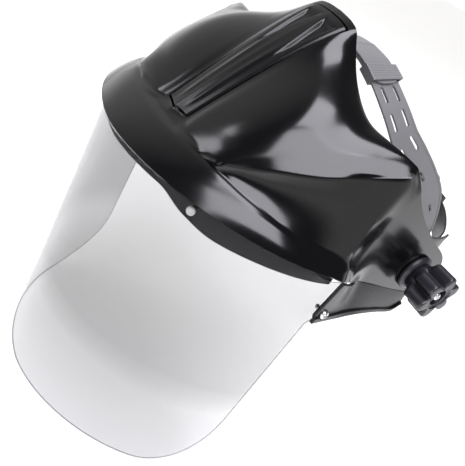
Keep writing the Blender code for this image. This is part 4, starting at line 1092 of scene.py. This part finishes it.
def build_vis_strap(sx, side):
    lift = 0.0 if sx > 0 else STRAP_T + GAP
    lo = -0.22 if sx > 0 else -0.31
    n = 190
    bm = bmesh.new()
    rings = []
    for i in range(n + 1):
        t = lerp(lo, 1.0, i / n)
        c, out, w = strap_frame(abs(t))
        if t < 0:
            c, out, w = [Vector((-q.x, q.y, q.z)) for q in (c, out, w)]
        if sx < 0:
            c, out, w = [Vector((-q.x, q.y, q.z)) for q in (c, out, w)]
            k = min(1.0, max(0.0, (0.42 - t) / 0.12))
            c = c + out * lift * (k * k * (3 - 2 * k))
        hw = strap_half(t)
        # round the free end off
        e0 = (t - lo) / 0.075
        if e0 < 1:
            hw *= 0.35 + 0.65 * math.sqrt(max(0.0, 1 - (1 - e0) ** 2))
        e1 = (1.0 - t) / 0.035
        if e1 < 1:
            hw *= 0.45 + 0.55 * math.sqrt(max(0.0, 1 - (1 - e1) ** 2))
        rim = 0.45 * (smoothstep(0.42, 0.50, t) if True else 1)
        base = STRAP_T - (0.45 if t > 0.42 else 0.0) * smoothstep(0.42, 0.50, t)
        prof = band_profile(hw, base, max(rim, 0.001), 1.7, 0.28)
        rings.append([bm.verts.new(place(*(c + w * a + out * b_))) for a, b_ in prof])
    m = len(rings[0])
    for a, b_ in zip(rings, rings[1:]):
        for k in range(m):
            bm.faces.new((a[k], a[(k + 1) % m], b_[(k + 1) % m], b_[k]))
    bm.faces.new(rings[0])
    bm.faces.new(list(reversed(rings[-1])))
    ob = new_object("strap_" + side, bm, STRAP, smooth=35)
    cutters = []
    slots = [(0.50, -6.4, 12, 3.0), (0.50, 6.4, 12, 3.0), (0.64, -6.4, 12, 3.0), (0.64, 6.4, 12, 3.0),
             (0.765, 0.0, 9, 3.0), (0.90, 0.0, 7.0, 2.6)]
    if sx > 0:
        slots += [(0.36, -6.4, 11, 3.0), (0.36, 6.4, 11, 3.0)]
    for t, off, length, width in slots:
        c, out, w = strap_frame(t)
        c2, _, _ = strap_frame(t + 0.03)
        tan = (c2 - c).normalized()
        if sx < 0:
            c, out, w, tan = [Vector((-q.x, q.y, q.z)) for q in (c, out, w, tan)]
        b2 = bmesh.new()
        # stadium-shaped punch
        ring = []
        for k in range(24):
            a = 2 * math.pi * k / 24
            ex = (length - width) / 2 * (1 if math.sin(a) >= 0 else -1)
            ring.append((width / 2 * math.cos(a), width / 2 * math.sin(a) + ex))
        lo_, hi_ = [[b2.verts.new(place(*(c + w * (off + x) + tan * y + out * h))) for x, y in ring] for h in (-6, 8)]
        for k in range(24):
            b2.faces.new((lo_[k], lo_[(k + 1) % 24], hi_[(k + 1) % 24], hi_[k]))
        b2.faces.new(lo_)
        b2.faces.new(list(reversed(hi_)))
        cutters.append(new_object("slot", b2, None))
    cutters.append(cone("sh", 3.0, 70 * sx, 92 * sx, PEG_Y, PEG_Z, 40))
    cut(ob, cutters)
    bevel(ob, 0.2, 1, 50)
    baked(ob)
    smooth_by(ob, 35)
    stands_for(ob, "headgear", "strap_grey", "top_strap_" + side)


def build_vis_keeper():
    """Chevron-shaped moulded loop with ribbed faces."""
    t0, t1 = 0.205, 0.295
    top = 2 * STRAP_T + GAP + 0.45
    hw = STRAP_W / 2
    bm = bmesh.new()
    n = 18
    rings = []
    for i in range(n + 1):
        t = lerp(t0, t1, i / n)
        c, out, w = strap_frame(t)
        rib = 0.28 * abs(math.sin(math.pi * i / 3))
        ring, ri = [], []
        for (a, b_) in ((-hw - 1.3, -1.5), (hw + 1.3, -1.5), (hw + 1.6, -1.1), (hw + 1.6, top + 0.6 + rib), (hw + 1.1, top + 1.0 + rib),
                        (-hw - 1.1, top + 1.0 + rib), (-hw - 1.6, top + 0.6 + rib), (-hw - 1.6, -1.1)):
            ring.append(bm.verts.new(place(*(c + w * a + out * b_))))
        for (a, b_) in ((-hw - 0.2, -0.4), (hw + 0.2, -0.4), (hw + 0.4, -0.2), (hw + 0.4, top - 0.2), (hw + 0.2, top),
                        (-hw - 0.2, top), (-hw - 0.4, top - 0.2), (-hw - 0.4, -0.2)):
            ri.append(bm.verts.new(place(*(c + w * a + out * b_))))
        rings.append((ring, ri))
    for (a, ai), (b_, bi) in zip(rings, rings[1:]):
        for k in range(8):
            bm.faces.new((a[k], a[(k + 1) % 8], b_[(k + 1) % 8], b_[k]))
            bm.faces.new((ai[k], bi[k], bi[(k + 1) % 8], ai[(k + 1) % 8]))
    for ring, ri in (rings[0], rings[-1]):
        for k in range(8):
            bm.faces.new((ring[k], ri[k], ri[(k + 1) % 8], ring[(k + 1) % 8]))
    ob = new_object("keeper_loop", bm, STRAP, smooth=35)
    stands_for(ob, "headgear", "strap_grey", "strap_keeper")


# ---------------------------------------------------------------- pivots and knobs
def lathe(name, profile, sx, mat, seg=64, y=0.0, z=0.0, smooth=32):
    bm = bmesh.new()
    rings = []
    for x, r in profile:
        rings.append([bm.verts.new((sx * x / 1000, (y + r * math.cos(a)) / 1000, (z + r * math.sin(a)) / 1000))
                      for a in [2 * math.pi * k / seg for k in range(seg)]])
    n = len(rings)
    for i in range(n):
        a, b_ = rings[i], rings[(i + 1) % n]
        for k in range(seg):
            bm.faces.new((a[k], a[(k + 1) % seg], b_[(k + 1) % seg], b_[k]))
    return new_object(name, bm, mat, smooth)


def rounded(profile, r=0.35):
    """Cuts each corner of a closed (x, r) profile back by r."""
    out = []
    n = len(profile)
    for i in range(n):
        p0, p, p1 = [Vector(profile[j]) for j in ((i - 1) % n, i, (i + 1) % n)]
        a, b_ = (p0 - p), (p1 - p)
        k = min(r, a.length * 0.4, b_.length * 0.4)
        if k < 0.02:
            out.append(tuple(p))
            continue
        q0, q1 = p + a.normalized() * k, p + b_.normalized() * k
        out.append(tuple(q0))
        out.append(tuple((q0 + q1 + p * 1.2) / 3.2))
        out.append(tuple(q1))
    return out


def build_vis_pivots():
    x0 = 109.8
    for sx, side in ((1, "left"), (-1, "right")):
        ob = lathe("bolt_" + side, rounded([(80.6, 0.8), (80.6, 5.4), (81.3, 6.2), (83.2, 6.2), (83.2, BOLT_R),
                                            (128.6, BOLT_R), (129.4, BOLT_R - 0.8), (129.4, 0.8)], 0.2), sx, METAL, 56)
        # the loop below leaves the vertices as they are
        for v in ob.data.vertices:
            pass
        stands_for(ob, "headgear", "steel", "pivot_bolt_" + side)
        ob = lathe("washer_" + side, rounded([(88.6, BOLT_R + 0.4), (88.6, 15.0), (90.8, 15.0), (90.8, BOLT_R + 0.4)], 0.3),
                   sx, FIBRE, 72)
        stands_for(ob, "headgear", "washer_fibre", "friction_washer_" + side)
        ob = lathe("spacer_" + side, rounded([(91.1, BOLT_R + 0.4), (91.1, 12.0), (97.0, 9.0), (102.2, 9.0),
                                              (102.2, BOLT_R + 0.4)], 0.4), sx, SATIN, 72)
        stands_for(ob, "headgear", "satin_black", "pivot_spacer_" + side)
        ob = lathe("collar_" + side, rounded([(105.4, BOLT_R + 0.4), (105.4, 13.5), (107.4, 13.5), (109.4, 11.5),
                                              (109.4, BOLT_R + 0.4)], 0.4), sx, KNOB, 72)
        stands_for(ob, "shell", "knob_black", "knob_collar_" + side)
        # star knob: six broad lobes, dished outer face with a rim
        seg = 240
        prof = [(x0, 10.2, 0.0), (x0 + 0.3, 10.5, 0.0), (x0 + 3.0, 11.3, 0.1), (x0 + 4.6, 12.3, 0.5), (x0 + 5.6, 13.2, 0.9),
                (x0 + 6.5, 13.6, 1.0)]
        prof += [(x0 + lerp(6.5, KNOB_L - 1.6, k / 8), 13.6 + 0.3 * k / 8, 1.0) for k in range(1, 9)]
        prof += [(x0 + KNOB_L - 0.9, 13.75, 1.0), (x0 + KNOB_L - 0.3, 13.35, 0.97), (x0 + KNOB_L, 12.7, 0.92),
                 (x0 + KNOB_L, 9.6, 0.35), (x0 + KNOB_L - 0.15, 9.2, 0.0), (x0 + KNOB_L - 0.9, 8.9, 0.0),
                 (x0 + KNOB_L - 1.2, 8.4, 0.0), (x0 + KNOB_L - 1.2, 6.9, 0.0), (x0 + KNOB_L - 1.5, 6.4, 0.0),
                 (x0 + KNOB_L - 4.8, 6.0, 0.0), (x0 + KNOB_L - 5.0, 5.6, 0.0), (x0 + KNOB_L - 5.0, BOLT_R + 0.4, 0.0),
                 (x0, BOLT_R + 0.4, 0.0)]
        bm = bmesh.new()
        rings = []
        for x, base, lobe in prof:
            ring = []
            for k in range(seg):
                a = 2 * math.pi * k / seg
                c = math.cos(6 * a)
                q = 1.0 - (1.0 - (c + 1) / 2) ** 1.6
                r = base + lobe * (KNOB_R - 13.6) * (2 * q - 1)
                ring.append(bm.verts.new((sx * x / 1000, r * math.sin(a) / 1000, r * math.cos(a) / 1000)))
            rings.append(ring)
        n = len(rings)
        for i in range(n):
            a, b_ = rings[i], rings[(i + 1) % n]
            for k in range(seg):
                bm.faces.new((a[k], a[(k + 1) % seg], b_[(k + 1) % seg], b_[k]))
        ob = new_object("grip_knob_" + side, bm, KNOB, smooth=40)
        stands_for(ob, "star_" + side, "knob_black", "star_knob_" + side)
        ob = lathe("peg_" + side, rounded([(77.2, 0.6), (77.2, 5.0), (78.4, 5.0), (78.4, 2.6), (86.6, 2.6), (87.4, 2.0),
                                           (87.4, 0.6)], 0.25), sx, SATIN, 48, PEG_Y, PEG_Z)
        stands_for(ob, "headgear", "satin_black", "strap_peg_" + side)


# ---------------------------------------------------------------- ratchet
def arc_sweep(name, prof, a0, a1, n, mat, smooth=35):
    bm = bmesh.new()
    rings = []
    for k in range(n + 1):
        a = math.radians(lerp(a0, a1, k / n))
        rings.append([bm.verts.new(((r * math.sin(a)) / 1000, (AXIS_Y + r * math.cos(a)) / 1000, z / 1000))
                      for r, z in prof])
    m = len(prof)
    for a, b_ in zip(rings, rings[1:]):
        for k in range(m):
            bm.faces.new((a[k], a[(k + 1) % m], b_[(k + 1) % m], b_[k]))
    bm.faces.new(rings[0])
    bm.faces.new(list(reversed(rings[-1])))
    return new_object(name, bm, mat, smooth)


def build_vis_ratchet():
    z, H = RATCHET_Z, TAIL_H + 0.6
    r_in, r_out = TAIL_R - 1.8, TAIL_R + 1.8
    ob = arc_sweep("ratchet_tray",
                   [(r_in - 2.2, z - H - 2.4), (r_out, z - H - 2.4), (r_out, z - H), (r_in, z - H),
                    (r_in, z + H), (r_out, z + H), (r_out, z + H + 2.4), (r_in - 2.2, z + H + 2.4)], -21, 21, 60, SATIN)
    bevel(ob, 0.4, 3, 50)
    baked(ob)
    smooth_by(ob, 35)
    stands_for(ob, "headgear", "satin_black", "ratchet_housing")
    ob = arc_sweep("ratchet_cap", [(r_out + GAP, z - H - 2.4), (r_out + 7.5, z - H + 0.4), (r_out + 7.5, z + H - 0.4),
                                   (r_out + GAP, z + H + 2.4)], -21, 21, 60, SATIN)
    yb = RATCHET_Y
    cut(ob, [cone("kb", 6.2, yb - 6, yb + 18, 0, z, 64, "Y"), cone("sp", 11.6, yb + 5.4, yb + 18, 0, z, 80, "Y")])
    bevel(ob, 0.7, 3, 50)
    baked(ob)
    smooth_by(ob, 35)
    stands_for(ob, "headgear", "satin_black", "ratchet_cover")
    # knob with a gripped rim
    seg = 288
    bm = bmesh.new()
    rings = []
    for y, base, grip in ((yb + 1.7 + GAP, 4.4, 0.0), (yb + 2.3, 4.6, 0.0), (yb + 10.4, 4.6, 0.0), (yb + 10.4, 15.9, 0.8),
                          (yb + 10.8, 16.4, 1.0), (yb + 14, 16.3, 1.0), (yb + 17.8, 16.0, 1.0), (yb + 19.0, 15.6, 0.9),
                          (yb + 19.8, 14.8, 0.5), (yb + 20.2, 13.6, 0.1), (yb + 20.2, 10.5, 0.0), (yb + 19.7, 10.0, 0.0),
                          (yb + 19.4, 5.0, 0.0), (yb + 19.35, 1.0, 0.0)):
        ring = []
        for k in range(seg):
            a = 2 * math.pi * k / seg
            w = math.sin(8 * a - 2.2)
            r = base + grip * 0.95 * (math.tanh(2.2 * w) / math.tanh(2.2)) * 0.9
            ring.append(bm.verts.new(((r * math.sin(a)) / 1000, y / 1000, (z + r * math.cos(a)) / 1000)))
        rings.append(ring)
    for a, b_ in zip(rings, rings[1:]):
        for k in range(seg):
            bm.faces.new((a[k], a[(k + 1) % seg], b_[(k + 1) % seg], b_[k]))
    bm.faces.new(rings[0])
    bm.faces.new(list(reversed(rings[-1])))
    ob = new_object("ratchet_dial", bm, KNOB, smooth=38)
    stands_for(ob, "dial", "knob_black", "ratchet_knob")
    # nape pad
    n = 90
    bm = bmesh.new()
    rings = []
    prof = pad_profile(H + 1.5, 5.0)
    rr = r_in - 2.2 - GAP
    for i in range(n + 1):
        d = lerp(-26, 26, i / n)
        a = math.radians(d)
        end = min(i, n - i) / 8.0
        k = math.sqrt(max(0.0, 1 - (1 - min(1.0, end)) ** 2)) * 0.7 + 0.3
        ph = abs(((d + 26) / 17.33) % 1.0 - 0.5) * 2
        q = 1.0 - 0.4 * math.exp(-((1 - ph) / 0.09) ** 2)
        ring = []
        for u, b_ in prof:
            r = rr + b_ * k * (q if abs(u) / (H + 1.5) < 0.93 else 1.0)
            ring.append(bm.verts.new((r * math.sin(a) / 1000, (AXIS_Y + r * math.cos(a)) / 1000,
                                      (z + u * (0.93 + 0.07 * k)) / 1000)))
        rings.append(ring)
    m = len(prof)
    for a, b_ in zip(rings, rings[1:]):
        for k in range(m):
            bm.faces.new((a[k], a[(k + 1) % m], b_[(k + 1) % m], b_[k]))
    bm.faces.new(rings[0])
    bm.faces.new(list(reversed(rings[-1])))
    ob = new_object("nape_cushion", bm, CLOTH, smooth=60)
    stands_for(ob, "headgear", "foam", "nape_pad")


build_vis_crown()
build_vis_panel()
build_vis_visor()
build_vis_carrier()
build_vis_studs()
for SX, SIDE in ((1, "left"), (-1, "right")):
    build_vis_bracket(SX, SIDE)
    build_vis_strap(SX, SIDE)
build_vis_headband()
build_vis_sweatband()
build_vis_keeper()
build_vis_pivots()
build_vis_ratchet()

# CAD nodes whose shape is right keep it, with softened edges and their own material
for node, mat in (("rear_band_left", SATIN), ("rear_band_right", SATIN), ("ratchet_pinion", GEARS),
                  ("ratchet_spring", METAL)):
    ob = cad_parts[node]
    ob.data.materials.clear()
    ob.data.materials.append(mat)
    bevel(ob, 0.18, 2, 40)

# ---------------------------------------------------------------- floor, light, camera
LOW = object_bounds()[0][2]


def build_floor():
    bm = bmesh.new()
    n, r = 96, 14.0
    rings = []
    for q in (0.4, 1.0, 3.0, r):
        rings.append([bm.verts.new((q * math.cos(a), q * math.sin(a), LOW - 0.0006))
                      for a in [2 * math.pi * k / n for k in range(n)]])
    bm.faces.new(rings[0])
    for a, b_ in zip(rings, rings[1:]):
        for k in range(n):
            bm.faces.new((a[k], a[(k + 1) % n], b_[(k + 1) % n], b_[k]))
    m, nt, b = nodes_of("mat_floor")
    nt.links.new(mix_colour(nt, noise(nt, 2.5, 2.0), (0.925, 0.925, 0.925), (0.935, 0.935, 0.935)), b.inputs["Base Color"])
    nt.links.new(mapped(nt, noise(nt, 30.0, 3.0), 0.75, 0.85), b.inputs["Roughness"])
    b.inputs["Specular IOR Level"].default_value = 0.2
    ob = new_object("floor", bm, m, up=Vector((0, 0, 1)))


build_floor()


def area(name, loc, aim, size, size_y, power, colour=(1, 1, 1), spread=180.0):
    d = bpy.data.lights.new(name, "AREA")
    d.shape = "RECTANGLE"
    d.size, d.size_y = size, size_y
    d.energy = power
    d.color = colour
    d.spread = math.radians(spread)
    ob = bpy.data.objects.new(name, d)
    ob.location = loc
    ob.rotation_euler = (Vector(aim) - Vector(loc)).to_track_quat("-Z", "Y").to_euler()
    bpy.context.scene.collection.objects.link(ob)
    return ob


world = bpy.data.worlds.new("studio")
bpy.context.scene.world = world
world.use_nodes = True
bg = world.node_tree.nodes["Background"]
bg.inputs["Color"].default_value = (1.0, 1.0, 1.0, 1.0)
bg.inputs["Strength"].default_value = 0.3

def sky(world):
    """Studio walls: pale down by the floor, dim overhead, a little brighter on the far side."""
    nt = world.node_tree
    tc = nt.nodes.new("ShaderNodeTexCoord")
    dot = nt.nodes.new("ShaderNodeVectorMath")
    dot.operation = "DOT_PRODUCT"
    dot.inputs[1].default_value = (-0.90, -0.05, 0.42)
    nt.links.new(tc.outputs["Generated"], dot.inputs[0])
    side = mapped(nt, dot.outputs["Value"], 0.09, 0.80, 0.55, 0.98)
    sep = nt.nodes.new("ShaderNodeSeparateXYZ")
    nt.links.new(tc.outputs["Generated"], sep.inputs["Vector"])
    low = mapped(nt, sep.outputs["Z"], 1.0, 0.0, 0.10, 0.36)
    add = nt.nodes.new("ShaderNodeMath")
    nt.links.new(side, add.inputs[0])
    nt.links.new(low, add.inputs[1])
    nt.links.new(add.outputs[0], nt.nodes["Background"].inputs["Strength"])


sky(world)
sun = bpy.data.lights.new("fill_sun", "SUN")
sun.energy = 2.9
sun.angle = math.radians(80)
sun.color = (1.0, 0.99, 0.975)
sun_ob = bpy.data.objects.new("fill_sun", sun)
sun_ob.rotation_euler = (Vector((-0.45, 0.35, 0.82))).to_track_quat("Z", "Y").to_euler()
sun_ob.visible_glossy = False
bpy.context.scene.collection.objects.link(sun_ob)
bpy.context.scene.view_settings.view_transform = "Standard"
area("overhead_box", (0.20, -0.27, 1.39), (0.06, -0.12, 0.06), 0.62, 0.74, 15.0, (0.93, 0.93, 1.0))
area("right_box", (0.75, -0.55, 1.10), (0.08, -0.14, 0.0), 1.10, 0.62, 20.0, (0.93, 0.93, 1.0))
area("front_box", (-0.68, -1.05, 0.70), (0.04, -0.15, 0.03), 0.24, 0.30, 1.8, (0.94, 0.94, 1.0))

cam_data = bpy.data.cameras.new("camera")
cam = bpy.data.objects.new("camera", cam_data)
bpy.context.scene.collection.objects.link(cam)
RIGHT = Vector((0.4783226, 0.7358743, 0.4792695))
UP = Vector((-0.6421622, -0.0791750, 0.7624697))
BACK = Vector((0.5989969, -0.6725060, 0.4346798))
cam.matrix_world = Matrix(((RIGHT.x, UP.x, BACK.x, 0.2685226), (RIGHT.y, UP.y, BACK.y, -0.3678406),
                           (RIGHT.z, UP.z, BACK.z, 0.1587964), (0, 0, 0, 1)))
cam_data.sensor_width = 36.0
cam_data.lens = 48.1076
cam_data.shift_x = -0.0129
cam_data.shift_y = -0.0644
cam_data.clip_start = 0.01
cam_data.clip_end = 60.0
bpy.context.scene.camera = cam
